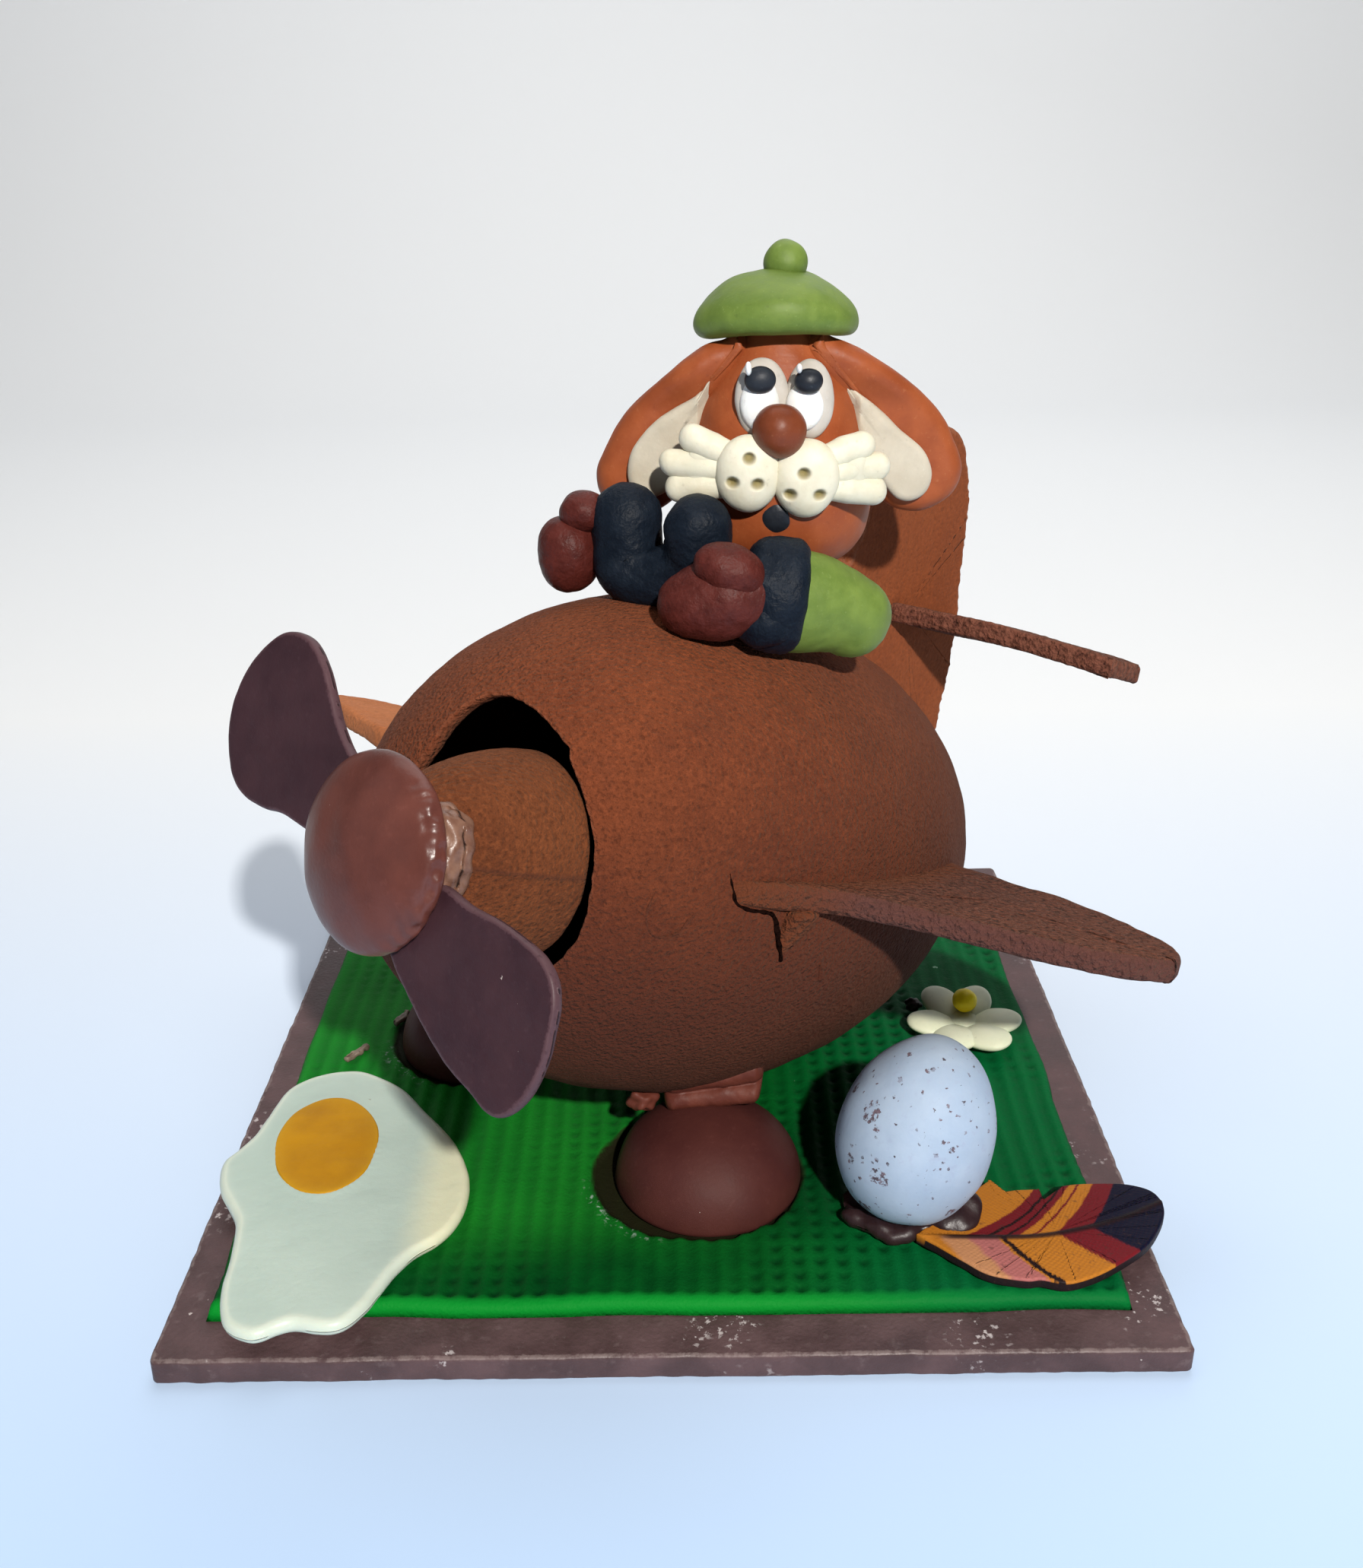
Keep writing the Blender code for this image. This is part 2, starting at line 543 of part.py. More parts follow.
eye_parts = []
for tag, rim, white, pupil, spark in (
        ("left", ((20.7, -6.6, 168.6), (5.5, 2.9, 8.1)), ((20.1, -8.7, 168.0), (3.9, 2.4, 5.4)),
         ((20.1, -9.9, 172.8), (3.2, 2.0, 2.7)), ((17.7, -11.0, 175.1), (0.85, 1.3, 1.5))),
        ("right", ((30.4, -6.4, 168.3), (4.9, 2.9, 7.9)), ((29.2, -8.6, 167.3), (3.8, 2.3, 4.8)),
         ((29.8, -9.7, 172.4), (2.9, 2.0, 2.5)), ((27.8, -10.9, 175.0), (0.75, 1.3, 0.8)))):
    frame = (X, FACE_N, FACE_U)
    r = blob("eye_rim_" + tag, *rim, "marz_grey", frame, 16, 8)
    clear(r, head, muzzle, *eye_parts)
    w_ = blob("eye_white_" + tag, *white, "marz_white", frame, 14, 8)
    clear(w_, head, muzzle, r, *eye_parts)
    p_ = blob("pupil_" + tag, *pupil, "marz_black", frame, 12, 6)
    clear(p_, head, r, w_, *eye_parts)
    s_ = blob("eye_spark_" + tag, *spark, "marz_white", frame, 8, 6)
    clear(s_, head, r, w_, p_)
    eye_parts += [r, w_, p_, s_]

whiskers = []
for tag, root, tips in (("left", (14.5, -11.5, 155.2), ((6.6, -8.5, 161.2), (2.4, -7.5, 156.1), (3.9, -8.0, 151.0))),
                        ("right", (33.0, -11.5, 154.4), ((40.9, -8.5, 159.3), (44.3, -7.5, 154.8), (43.6, -8.0, 149.9)))):
    rolls = []
    for k, tip in enumerate(tips):
        a, b = np.array(root), np.array(tip)
        a = a + np.array([0, 0.4, (1 - k) * 2.9])
        rolls.append(tube("roll", [a, a * 0.5 + b * 0.5, b], (2.7, 3.0 + 0.2 * (k == 2), 2.9 + 0.2 * (k == 2)),
                          "marz_cream", 12, 0.9))
    fan = join(rolls[0], *rolls[1:])
    fan.name = "whiskers_" + tag
    clear(fan, head, pad_left, pad_right, muzzle, *eye_parts)
    whiskers.append(fan)

beret = lathe("beret", (24.2, 7.0, 182.0), Z, X, Y,
              [(-0.5, 0.0), (-0.5, 11.0), (0.0, 14.8), (1.1, 16.7), (2.6, 17.1), (4.6, 15.9), (6.8, 12.8),
               (8.5, 8.6), (9.4, 4.4), (9.7, 0.0)], "marz_green", 30, 1.0, 0.86)
for v in beret.data.vertices:
    v.co.z -= 2.9 * MM * ((v.co.x / MM - 24.2) / 17.0) ** 2
clear(beret, head)
pompom = blob("pompom", (26.0, 8.0, 193.4), (4.5, 4.5, 4.5), "marz_green", seg=16, rows=10)
clear(pompom, beret)

EAR_R = ((33, 181), (35.1, 179.6), (41.6, 176.9), (48.3, 172.3), (55.1, 167.0), (60.7, 161.0), (63.5, 155.6),
         (64.8, 150.3), (63.0, 145.3), (57.8, 142.0), (53.0, 141.7), (48.2, 143.6), (44, 149), (40, 158), (34, 168),
         (29, 177))
EAR_L = ((16, 181), (13.2, 179.2), (9.1, 177.9), (2.6, 172.8), (-4.1, 167.1), (-9.6, 160.7), (-13.2, 154), (-14.2, 150),
         (-13, 145.6), (-8.5, 142.2), (-3.6, 141.9), (1, 143.8), (5, 149), (8, 158), (13, 168), (19, 177))
LIN_R = ((37.5, 171), (40.2, 168.9), (45.0, 165), (50.4, 160.4), (55.2, 156.4), (57.6, 151.8), (57.3, 147.7),
         (55.1, 145.4), (51.8, 145), (48.6, 147), (45, 152), (41, 160), (37, 168))
LIN_L = ((13.5, 174), (11.6, 172.5), (7.1, 167.5), (-0.9, 163), (-5.6, 157.9), (-7.2, 153.2), (-6.8, 149),
         (-4, 146.5), (0.5, 147.5), (4.5, 152), (7.5, 159), (11, 167))


def sweep_back(obj, x0):
    """Ears lean back away from the head."""
    for v in obj.data.vertices:
        v.co.y += 0.12 * max(0.0, abs(v.co.x - HEAD_X * MM) - x0 * MM)


ears = []
for tag, ear, lining in (("left", EAR_L, LIN_L), ("right", EAR_R, LIN_R)):
    e = pad("ear_" + tag, (0, 0, 0), X, Z, Y, smooth(ear, 30), 2.6, 10.4, "marz_brown", 3, round_=3.4)
    l = pad("ear_lining_" + tag, (0, 0, 0), X, Z, Y, smooth(lining, 26), -0.5, 2.2, "marz_cream", 3, round_=1.2)
    sweep_back(e, 17)
    sweep_back(l, 17)
    clear(e, head, beret)
    clear(l, e, head, beret, whiskers[0], whiskers[1])
    ears += [e, l]

# ---------------------------------------------------------------- arms resting on the fuselage, and the body between
mitten_right = blob("mitten_right", (9.6, -23.5, 132.8), (10.9, 8.6, 8.2), "maroon", seg=20, rows=12)
thumb = tube("thumb", [(10.2, -25.5, 140.6), (15.5, -26.0, 137.4)], (5.2, 5.0), "maroon", 12)
join(mitten_right, thumb)
clear(mitten_right, egg_skin, head)
lean_axis = np.array([math.cos(math.radians(-8)), 0, math.sin(math.radians(-8))])
lean_up = np.array([-lean_axis[2], 0, lean_axis[0]])
cuff_right = lathe("cuff_right", (22.6, -23.5, 132.4), lean_axis, Y, lean_up,
                   [(-6.4, 0.0), (-6.4, 7.6), (-4.8, 10.4), (-2, 11.6), (2, 11.9), (4.8, 11.0), (6.2, 8.6), (6.2, 0.0)],
                   "navy", 22, 0.86, 1.0)
clear(cuff_right, egg_skin, mitten_right, head)
sleeve = tube("sleeve_right", [(26, -21.5, 130.8), (31, -20.5, 129.4), (36, -19.5, 127.7), (38.4, -19.0, 126.5)],
              (11.0, 10.4, 9.4, 8.8), "marz_green", 20, 0.9)
clear(sleeve, egg_skin, cuff_right, mitten_right, head)
U_PATH = ((-7.4, -6, 144.2), (-7.4, -6.5, 139), (-6.8, -8, 134), (-1.5, -11, 132.8), (4.6, -14, 135.5),
          (7.2, -16, 140), (7.3, -16.5, 144.6))
cuff_left = tube("cuff_left", U_PATH, (7.4, 7.5, 7.4, 6.6, 6.8, 6.9, 6.9), "navy", 16, 0.95)
clear(cuff_left, egg_skin, mitten_right, cuff_right, head, whiskers[0], pad_left, *ears)
mitten_left = blob("mitten_left", (-20.0, -4.0, 136.2), (6.9, 7.0, 8.4), "maroon", seg=16, rows=10)
join(mitten_left, blob("finger", (-16.5, -4.5, 145.4), (5.0, 5.0, 4.5), "maroon", seg=12, rows=8))
clear(mitten_left, egg_skin, cuff_left)
body = blob("body", (25.0, 5.0, 121.0), (11.5, 11.5, 10.5), "marz_green", seg=16, rows=10)
clear(body, egg_skin, head, sleeve, cuff_right, mitten_right)

# ---------------------------------------------------------------- decorations on the mat
WHITE = ((-78.5, -14.3), (-73.6, -14.9), (-67.6, -18.5), (-62.4, -23.2), (-57.0, -30.4), (-51.7, -37.4),
         (-48.1, -42.8), (-45.2, -49.3), (-43.6, -55.5), (-43.4, -62.7), (-44.9, -69.0), (-47.7, -73.7),
         (-51.6, -77.4), (-54.3, -81.4), (-56.1, -85.5), (-57.6, -89.5), (-58.8, -92.4), (-61.3, -96.2),
         (-64.1, -97.9), (-67.9, -97.8), (-72.0, -96.9), (-74.9, -97.9), (-77.3, -99.4), (-79.7, -99.9),
         (-83.1, -98.7), (-85.7, -96.3), (-87.5, -91.9), (-88.6, -85.9), (-89.0, -79.2), (-90.1, -71.0),
         (-91.2, -67.0), (-93.6, -62.9), (-96.5, -58.2), (-98.2, -53.3), (-98.7, -48.2), (-96.7, -44.4),
         (-94.3, -39.2), (-93.1, -32.4), (-91.2, -22.5), (-87.5, -17.8), (-83.2, -15.3))
plaque = pad("plaque", (0, 0, 0), X, Y, Z, smooth(WHITE, 60), MAT_TOP + GAP, 12.9, "white_choc", 2, round_=1.2)
YOLK = ((-87.5, -47.6), (-88.5, -41.7), (-88.3, -35.7), (-86.6, -31.2), (-83.9, -28.1), (-80.3, -26.7),
        (-76.0, -26.7), (-72.2, -28.4), (-69.0, -32.0), (-66.6, -36.8), (-65.4, -41.5), (-65.2, -46.7),
        (-66.1, -51.8), (-68.1, -56.0), (-70.7, -59.0), (-73.8, -60.6), (-77.0, -60.4), (-80.6, -58.5),
        (-83.7, -55.4), (-85.9, -52.0))
yolk = plate("yolk", (0, 0, 0), X, Y, Z, smooth(YOLK, 30)[::-1], 11.2, 13.2, "yolk", 0.3)
clear(plaque, yolk)

tilt_e = math.radians(16)
EGG_UP = np.array([math.sin(tilt_e), 0.10, math.cos(tilt_e)])
EGG_UP /= np.linalg.norm(EGG_UP)
E1 = np.cross(Y, EGG_UP)
E1 /= np.linalg.norm(E1)
E2 = np.cross(EGG_UP, E1)
speckled = blob("speckled_egg", (51.2, -62.0, 29.4), (16.6, 16.6, 20.6), "sky", (E1, E2, EGG_UP), 22, 14, 0.10)
FEATHER = ((50.1, -73.8), (55.2, -68.8), (61.8, -62.5), (68.3, -56.9), (69.1, -61.2), (73.2, -60.3), (78.3, -60.1),
           (78.5, -63.3), (83.3, -59.2), (87.6, -58.6), (95.9, -58.7), (101.0, -60.5), (102.9, -63.5),
           (102.7, -67.6), (100.3, -72.4), (96.1, -77.8), (89.3, -82.9), (83.3, -86.4), (77.6, -88.2),
           (72.9, -87.0), (69.7, -87.2), (62.9, -85.4), (58.4, -81.5), (53.8, -77.0))
feather = plate("feather", (0, 0, 0), X, Y, Z, FEATHER, MAT_TOP + GAP, 12.2, "feather", edge=0.3)
DAB = ((36, -66), (40, -71), (46, -74), (53, -73), (60, -70), (62, -64), (58, -56), (48, -52), (39, -56))
dab = pad("egg_glue", (0, 0, 0), X, Y, Z, smooth(DAB, 22), MAT_TOP + GAP, 12.4, "dark_choc", 3, round_=1.6)
clear(speckled, mat)
clear(feather, speckled)
clear(dab, speckled, feather)
button = lathe("button", (58.3, -67.4, 12.6), np.array([0.15, -0.45, 0.88]) / np.linalg.norm([0.15, -0.45, 0.88]),
               X, np.cross(np.array([0.15, -0.45, 0.88]) / np.linalg.norm([0.15, -0.45, 0.88]), X),
               [(0, 0.0), (0, 5.4), (0.8, 6.0), (1.9, 5.7), (2.6, 4.2), (2.9, 0.0)], "dark_choc", 18)
clear(button, speckled, feather, dab)

D_C = np.array([73.5, 5.0, 11.6])
petals = []
for k, (deg, size, rise) in enumerate(((28, 1.0, 1.6), (82, 0.95, 2.4), (135, 1.0, 2.2), (190, 1.1, 0.6),
                                       (245, 1.15, 0.2), (300, 1.15, 0.0), (345, 1.05, 0.6))):
    q = math.radians(deg)
    d = np.array([math.cos(q), math.sin(q), 0.0])
    e3 = (d * 1.0 + Z * 0.16)
    e3 /= np.linalg.norm(e3)
    e1 = np.cross(Z, e3)
    e1 /= np.linalg.norm(e1)
    petals.append(blob("petal", D_C + d * 8.2 * size + Z * rise * 0.6, (4.3 * size, 1.9, 6.6 * size), "petal",
                       (e1, np.cross(e3, e1), e3), 10, 6))
daisy = join(petals[0], *petals[1:], blob("hub", D_C, (4, 4, 1.8), "petal", seg=10, rows=6))
daisy.name = "daisy_petals"
clear(daisy, mat)
daisy_centre = blob("daisy_centre", D_C + np.array([0.4, 1.5, 3.6]), (3.0, 3.0, 2.6), "yellow", seg=12, rows=8)
clear(daisy_centre, daisy)
daisy_glue = blob("daisy_glue", (61.2, 9.0, 10.6), (1.9, 1.8, 1.3), "dark_choc", seg=8, rows=6)
clear(daisy_glue, daisy, mat)
for name, c, turn, length in (("shaving_a", (-78.2, -3.4, 9.95), 50, 7.4), ("shaving_b", (-69.8, 12.0, 9.95), 62, 6.0)):
    q = math.radians(turn)
    e1 = np.array([math.cos(q), math.sin(q), 0])
    e2 = np.array([-math.sin(q), math.cos(q), 0])
    plate(name, c, e1, e2, Z, [(-length / 2, -0.9), (0, -1.3), (length / 2, -0.3), (length / 2, 0.7), (0, 0.9),
                               (-length / 2, 0.3)], -0.6, 0.6, "slab_choc", edge=0.25)

bpy.data.objects.remove(egg_skin, do_unlink=True)
for obj in list(bpy.context.scene.objects):
    if obj.type == "MESH":
        bm = bmesh.new()
        bm.from_mesh(obj.data)
        bmesh.ops.triangulate(bm, faces=bm.faces)
        bm.to_mesh(obj.data)
        bm.free()
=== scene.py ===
import bpy
import numpy as np
from mathutils import Matrix


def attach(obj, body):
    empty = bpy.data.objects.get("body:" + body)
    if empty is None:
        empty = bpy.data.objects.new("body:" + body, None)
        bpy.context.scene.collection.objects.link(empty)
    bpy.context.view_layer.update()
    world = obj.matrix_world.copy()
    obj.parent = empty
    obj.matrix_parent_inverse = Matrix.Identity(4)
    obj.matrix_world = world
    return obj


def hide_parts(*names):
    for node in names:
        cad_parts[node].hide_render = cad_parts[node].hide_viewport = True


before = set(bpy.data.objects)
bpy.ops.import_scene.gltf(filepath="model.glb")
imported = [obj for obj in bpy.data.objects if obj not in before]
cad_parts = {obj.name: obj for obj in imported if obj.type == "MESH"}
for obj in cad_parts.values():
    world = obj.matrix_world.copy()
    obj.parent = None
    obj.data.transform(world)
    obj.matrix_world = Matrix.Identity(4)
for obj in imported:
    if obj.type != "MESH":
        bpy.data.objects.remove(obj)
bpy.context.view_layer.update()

# ---- Camera
# A hand-held camera a little above the chocolate, in front of the slab and looking down on it.
# All sizes below are millimetres, and MM turns them into metres when a mesh is made.
MM = 0.001
EYE, PITCH, YAW, ROLL = (4.153, -314.29, 221.23), 24.156, -0.166, -0.821
FILM, FOCAL = 36, 1961.8 / 2062
pitch, yaw, roll = np.radians((PITCH, YAW, ROLL))
look = np.array([np.sin(yaw) * np.cos(pitch), np.cos(yaw) * np.cos(pitch), -np.sin(pitch)])
level = np.array([np.cos(yaw), -np.sin(yaw), 0.0])
above = np.cross(level, look)
right = np.cos(roll) * level + np.sin(roll) * above
up = np.cos(roll) * above - np.sin(roll) * level
camera = bpy.data.objects.new("camera", bpy.data.cameras.new("camera"))
bpy.context.scene.collection.objects.link(camera)
camera.data.sensor_width = FILM
camera.data.lens = FILM * FOCAL
camera.data.clip_start = 0.01
place = np.eye(4)
place[:3, :3] = np.stack([right, up, -look], 1)
place[:3, 3] = np.array(EYE) * MM
camera.matrix_world = Matrix(place.tolist())
bpy.context.scene.camera = camera
bpy.context.scene.view_settings.view_transform = "Standard"

# ---- Floor and light
# A paper sheet, flat under the slab and curved up at the back, white with a painted cool blue shade in
# front. A warm key lamp stands high in front, with cool fill from the left, a weak lamp behind and one that
# lights the rise. The paper and the lamps are placed in metres.
PAPER_HALF, PAPER_FRONT, BEND_START, BEND_R, PAPER_TOP = 2.2, -1.6, 0.9, 0.5, 2.2
SHADE_BLUE, BACK_WHITE = (0.46, 0.62, 0.86, 1), (0.86, 0.87, 0.88, 1)


def add(tree, kind, inputs=(), **props):
    """Node of that kind, with its settings, and inputs as (socket, value or other node's socket)."""
    node = tree.nodes.new(kind)
    for key, value in props.items():
        setattr(node, key, value)
    for socket, value in inputs:
        if isinstance(value, bpy.types.NodeSocket):
            tree.links.new(value, node.inputs[socket])
        else:
            node.inputs[socket].default_value = value
    return node


def local(tree):
    """Object coordinates, in metres."""
    return add(tree, "ShaderNodeTexCoord").outputs["Object"]


def ranged(tree, value, low, high, start=0.0, end=1.0):
    """A value that runs from start to end, made one that runs from low to high and stays between them."""
    limits = [("From Min", start), ("From Max", end), ("To Min", low), ("To Max", high)]
    return add(tree, "ShaderNodeMapRange", [("Value", value), *limits]).outputs["Result"]


quarter = np.linspace(0, np.pi / 2, 24)
bend = np.stack([BEND_START + BEND_R * np.sin(quarter), BEND_R * (1 - np.cos(quarter))], 1)
run = np.concatenate([[[PAPER_FRONT, 0]], bend, [[BEND_START + BEND_R, PAPER_TOP]]])
paper_points = [(x, y, z) for x in (-PAPER_HALF, PAPER_HALF) for y, z in run.tolist()]
count = len(run)
paper_mesh = bpy.data.meshes.new("paper")
paper_mesh.from_pydata(paper_points, [], [(i, i + count, i + count + 1, i + 1) for i in range(count - 1)])
paper_mesh.polygons.foreach_set("use_smooth", [True] * (count - 1))
paper = bpy.data.objects.new("paper", paper_mesh)
bpy.context.scene.collection.objects.link(paper)
paper_finish = bpy.data.materials.new("pale paper")
paper_finish.use_nodes = True
t = paper_finish.node_tree
# Painted shade: the paper's colour runs from a cool blue in front to white behind.
depth = add(t, "ShaderNodeSeparateXYZ", [("Vector", local(t))]).outputs["Y"]
shade = add(t, "ShaderNodeValToRGB", [("Fac", ranged(t, depth, 0.0, 1.0, -0.15, 0.25))])
shade.color_ramp.elements[0].color = SHADE_BLUE
shade.color_ramp.elements[1].color = BACK_WHITE
t.links.new(shade.outputs["Color"], t.nodes["Principled BSDF"].inputs["Base Color"])
t.nodes["Principled BSDF"].inputs["Roughness"].default_value = 0.8
paper_mesh.materials.append(paper_finish)


def lamp(name, where, aim, size, watts, colour):
    """Square lamp at `where` metres that faces `aim`."""
    data = bpy.data.lights.new(name, "AREA")
    data.size, data.energy, data.color = size, watts, colour
    obj = bpy.data.objects.new(name, data)
    bpy.context.scene.collection.objects.link(obj)
    back = np.array(where) - np.array(aim)
    back = back / np.linalg.norm(back)
    across = np.cross((0, 0, 1), back)
    across = across / np.linalg.norm(across)
    m = np.eye(4)
    m[:3, :3] = np.stack([across, np.cross(back, across), back], 1)
    m[:3, 3] = where
    obj.matrix_world = Matrix(m.tolist())


lamp("key", (0.225, -0.903, 0.756), (0, 0, 0.08), 0.035, 16.5, (1.0, 0.96, 0.90))
lamp("fill", (-0.85, -0.30, 0.55), (0, 0, 0.07), 0.7, 0.55, (0.80, 0.90, 1.0))
lamp("back", (0.30, 0.75, 0.85), (0, 0, 0.08), 0.6, 1.2, (0.92, 0.96, 1.0))
lamp("backdrop", (0.0, 0.60, 1.50), (0, 1.35, 0.35), 1.4, 13.0, (1.0, 1.0, 1.0))
room = bpy.data.worlds.new("room")
bpy.context.scene.world = room
room.use_nodes = True
room.node_tree.nodes["Background"].inputs["Color"].default_value = (0.80, 0.90, 1.0, 1)
room.node_tree.nodes["Background"].inputs["Strength"].default_value = 0.07

# ---- Slab
# The board that carries the airplane: a 200 mm square of dark chocolate, cast 5.6 mm thick in
# a frame. Its rims are knocked a little, with pale crumbs, and a dull grey bloom lies on it.
X, Y, Z = np.eye(3)


def curve(points, n, closed=False):
    """Catmull-Rom curve through the points: between two of them it is the cubic whose slopes are half the
    span of their neighbours. n samples lie evenly along its length."""
    p = np.asarray(points, float)
    k = len(p)
    spans = k if closed else k - 1
    t = np.linspace(0, spans, 40 * k + 1)
    i = np.minimum(t.astype(int), spans - 1)
    f = (t - i)[:, None]
    p0, p1, p2, p3 = (p[(i + j) % k] if closed else p[np.clip(i + j, 0, k - 1)] for j in (-1, 0, 1, 2))
    fine = 0.5 * (2 * p1 + (p2 - p0) * f + (2 * p0 - 5 * p1 + 4 * p2 - p3) * f ** 2
                  + (3 * p1 - p0 - 3 * p2 + p3) * f ** 3)
    s = np.concatenate([[0], np.cumsum(np.linalg.norm(np.diff(fine, axis=0), axis=1))])
    want = np.linspace(0, s[-1], n, endpoint=not closed)
    return np.stack([np.interp(want, s, fine[:, c]) for c in range(p.shape[1])], 1)


def waves(p, size, seed, n=22):
    """Smooth random field over points p, near -1.5 to 1.5: the sum of n cosine waves with random directions
    and phases and wavelengths near size."""
    rng = np.random.default_rng(seed)
    d = rng.normal(size=(n, 3))
    d /= np.linalg.norm(d, axis=1)[:, None]
    k = 2 * np.pi / (size * rng.uniform(0.7, 1.5, n))
    return np.cos(p @ (d * k[:, None]).T + rng.uniform(0, 2 * np.pi, n)).sum(-1) / np.sqrt(n / 2)


def inward(outline):
    """Unit normals of a closed outline, pointing to its inside: the tangent turned a quarter, by the sign of
    the area."""
    nxt, prv = np.roll(outline, -1, 0), np.roll(outline, 1, 0)
    t = nxt - prv
    t = t / (np.linalg.norm(t, axis=1)[:, None] + 1e-12)
    area = np.sum(outline[:, 0] * nxt[:, 1] - nxt[:, 0] * outline[:, 1])
    return np.stack([-t[:, 1], t[:, 0]], 1) * np.sign(area)


def nibbled(outline, layers, extra=0.0, low=-1.0, high=1.0, share=1.0):
    """Closed outline moved inwards by `extra` plus waves of (height, size, seed), kept within low and high
    and then times the share."""
    floor = np.column_stack([outline, np.zeros(len(outline))])
    move = extra + sum(height * waves(floor, size, seed) for height, size, seed in layers)
    return outline + inward(outline) * (share * move.clip(low, high))[:, None]


def plate_rings(outline, low, high, reach, ease=None, inner=10, rim=7, swell=0.0, middle=None):
    """Rings (x, y, height) of a flat piece and its edge mask. Each face is the outline drawn in to its
    middle; the rim is an elliptic quarter-round at each face, `reach` wide and `ease` tall. swell lifts the
    faces in a parabola. The mask is 1 on the rim and falls off over 1.6 mm."""
    half = (high - low) / 2
    ease = half if ease is None else min(ease, half)
    nrm = inward(outline)
    c = outline.mean(0) if middle is None else np.asarray(middle, float)
    q = np.linspace(0, np.pi / 2, rim)
    shrunk = outline + nrm * reach
    s = np.linspace(0.02, 1, inner + 1)[:-1]
    face = c + s[:, None, None] * (shrunk - c)
    gap = (1 - s[:, None]) * np.linalg.norm(shrunk - c, axis=1)
    turn = outline + nrm * (reach * (1 - np.sin(q)))[:, None, None]
    lift = np.concatenate([face, turn])
    flat = lambda z: np.broadcast_to(np.asarray(z, float)[:, None], (len(z), len(outline)))
    z = np.concatenate([flat(np.full(inner, high)) + swell * (1 - s[:, None] ** 2),
                        flat(high - ease * (1 - np.cos(q)))])
    z_low = np.concatenate([flat(np.full(inner, low)), flat(low + ease * (1 - np.cos(q)))])
    mask = np.exp(-np.concatenate([gap, flat(np.zeros(rim))]) / 1.6)
    top, bottom = np.dstack([lift, z]), np.dstack([lift, z_low])
    return np.concatenate([bottom, top[::-1]]), np.concatenate([mask, mask[::-1]])


def laid(rings, origin, e1, e2, n):
    """Rings in a piece's own axes put in place: origin + x e1 + y e2 + height n."""
    return np.asarray(origin, float) + rings[..., :1] * e1 + rings[..., 1:2] * e2 + rings[..., 2:] * n


def volume(rings):
    """Signed volume of a sleeve of rings, from the sum of its corners' triple products about its middle."""
    p = rings - rings.mean((0, 1))
    a, b, c = p[:-1], np.roll(p, -1, 1)[:-1], np.roll(p, -1, 1)[1:]
    d = p[1:]
    return np.einsum("ijk,ijk->", a, np.cross(b, c)) + np.einsum("ijk,ijk->", a, np.cross(c, d))


def rough(rings, *layers):
    """Rings moved along their normals by waves of (height, size, seed). A normal is the cross product of the
    differences along and around."""
    along = np.gradient(rings, axis=0)
    around = np.roll(rings, -1, 1) - np.roll(rings, 1, 1)
    n = np.cross(along, around)
    n /= np.linalg.norm(n, axis=-1)[..., None] + 1e-9
    n *= -np.sign(volume(rings))
    move = sum(height * waves(rings, size, seed) for height, size, seed in layers)
    return rings + n * move[..., None]


def body_of(name, points, corners, starts, material, node, values):
    """Piece that stands for a node, over points in millimetres: `corners` lists the faces' corners in turn
    and `starts` where each face begins."""
    mesh = bpy.data.meshes.new(name)
    mesh.vertices.add(len(points))
    mesh.vertices.foreach_set("co", (points * MM).astype(np.float32).reshape(-1))
    mesh.loops.add(len(corners))
    mesh.loops.foreach_set("vertex_index", corners.astype(np.int32))
    mesh.polygons.add(len(starts))
    mesh.polygons.foreach_set("loop_start", starts.astype(np.int32))
    mesh.polygons.foreach_set("use_smooth", np.ones(len(starts), bool))
    for key, value in values.items():
        mesh.attributes.new(key, "FLOAT", "POINT").data.foreach_set("value", value.astype(np.float32))
    mesh.update(calc_edges=True)
    mesh.validate()
    obj = bpy.data.objects.new(name, mesh)
    bpy.context.scene.collection.objects.link(obj)
    mesh.materials.append(material)
    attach(obj, "root")
    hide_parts(node)


def piece(name, sleeves, material, slot, node, **masks):
    """Mesh over one or more sleeves of rings. Ring i joins ring i + 1 in quads and the end rings close on
    their middles. Each sleeve's faces are turned outwards by its signed volume. masks are values per ring
    point."""
    points, corners, starts, values = [], [], [], {key: [] for key in masks}
    sleeves = sleeves if isinstance(sleeves, list) else [sleeves]
    at = loops = 0
    for k, r in enumerate(sleeves):
        rows, m = r.shape[:2]
        i = np.arange(rows * m).reshape(rows, m) + at
        j = np.roll(i, -1, 1)
        quads = np.stack([i[:-1], j[:-1], j[1:], i[1:]], -1).reshape(-1, 4)
        first, last = at + rows * m, at + rows * m + 1
        tris = np.concatenate([np.stack([j[0], i[0], np.full(m, first)], -1),
                               np.stack([i[-1], j[-1], np.full(m, last)], -1)])
        if volume(r) < 0:
            quads, tris = quads[:, ::-1], tris[:, ::-1]
        points.append(np.concatenate([r.reshape(-1, 3), [r[0].mean(0), r[-1].mean(0)]]))
        corners += [quads.reshape(-1), tris.reshape(-1)]
        starts += [loops + 4 * np.arange(len(quads)), loops + 4 * len(quads) + 3 * np.arange(len(tris))]
        loops += 4 * len(quads) + 3 * len(tris)
        at += rows * m + 2
        for key, value in masks.items():
            v = np.asarray(value[k] if isinstance(value, list) else value, float)
            values[key].append(np.concatenate([v.reshape(-1), [v[0].mean(), v[-1].mean()]]))
    values = {key: np.concatenate(value) for key, value in values.items()}
    points, corners, starts = map(np.concatenate, (points, corners, starts))
    body_of(name, points, corners, starts, material, node, values)


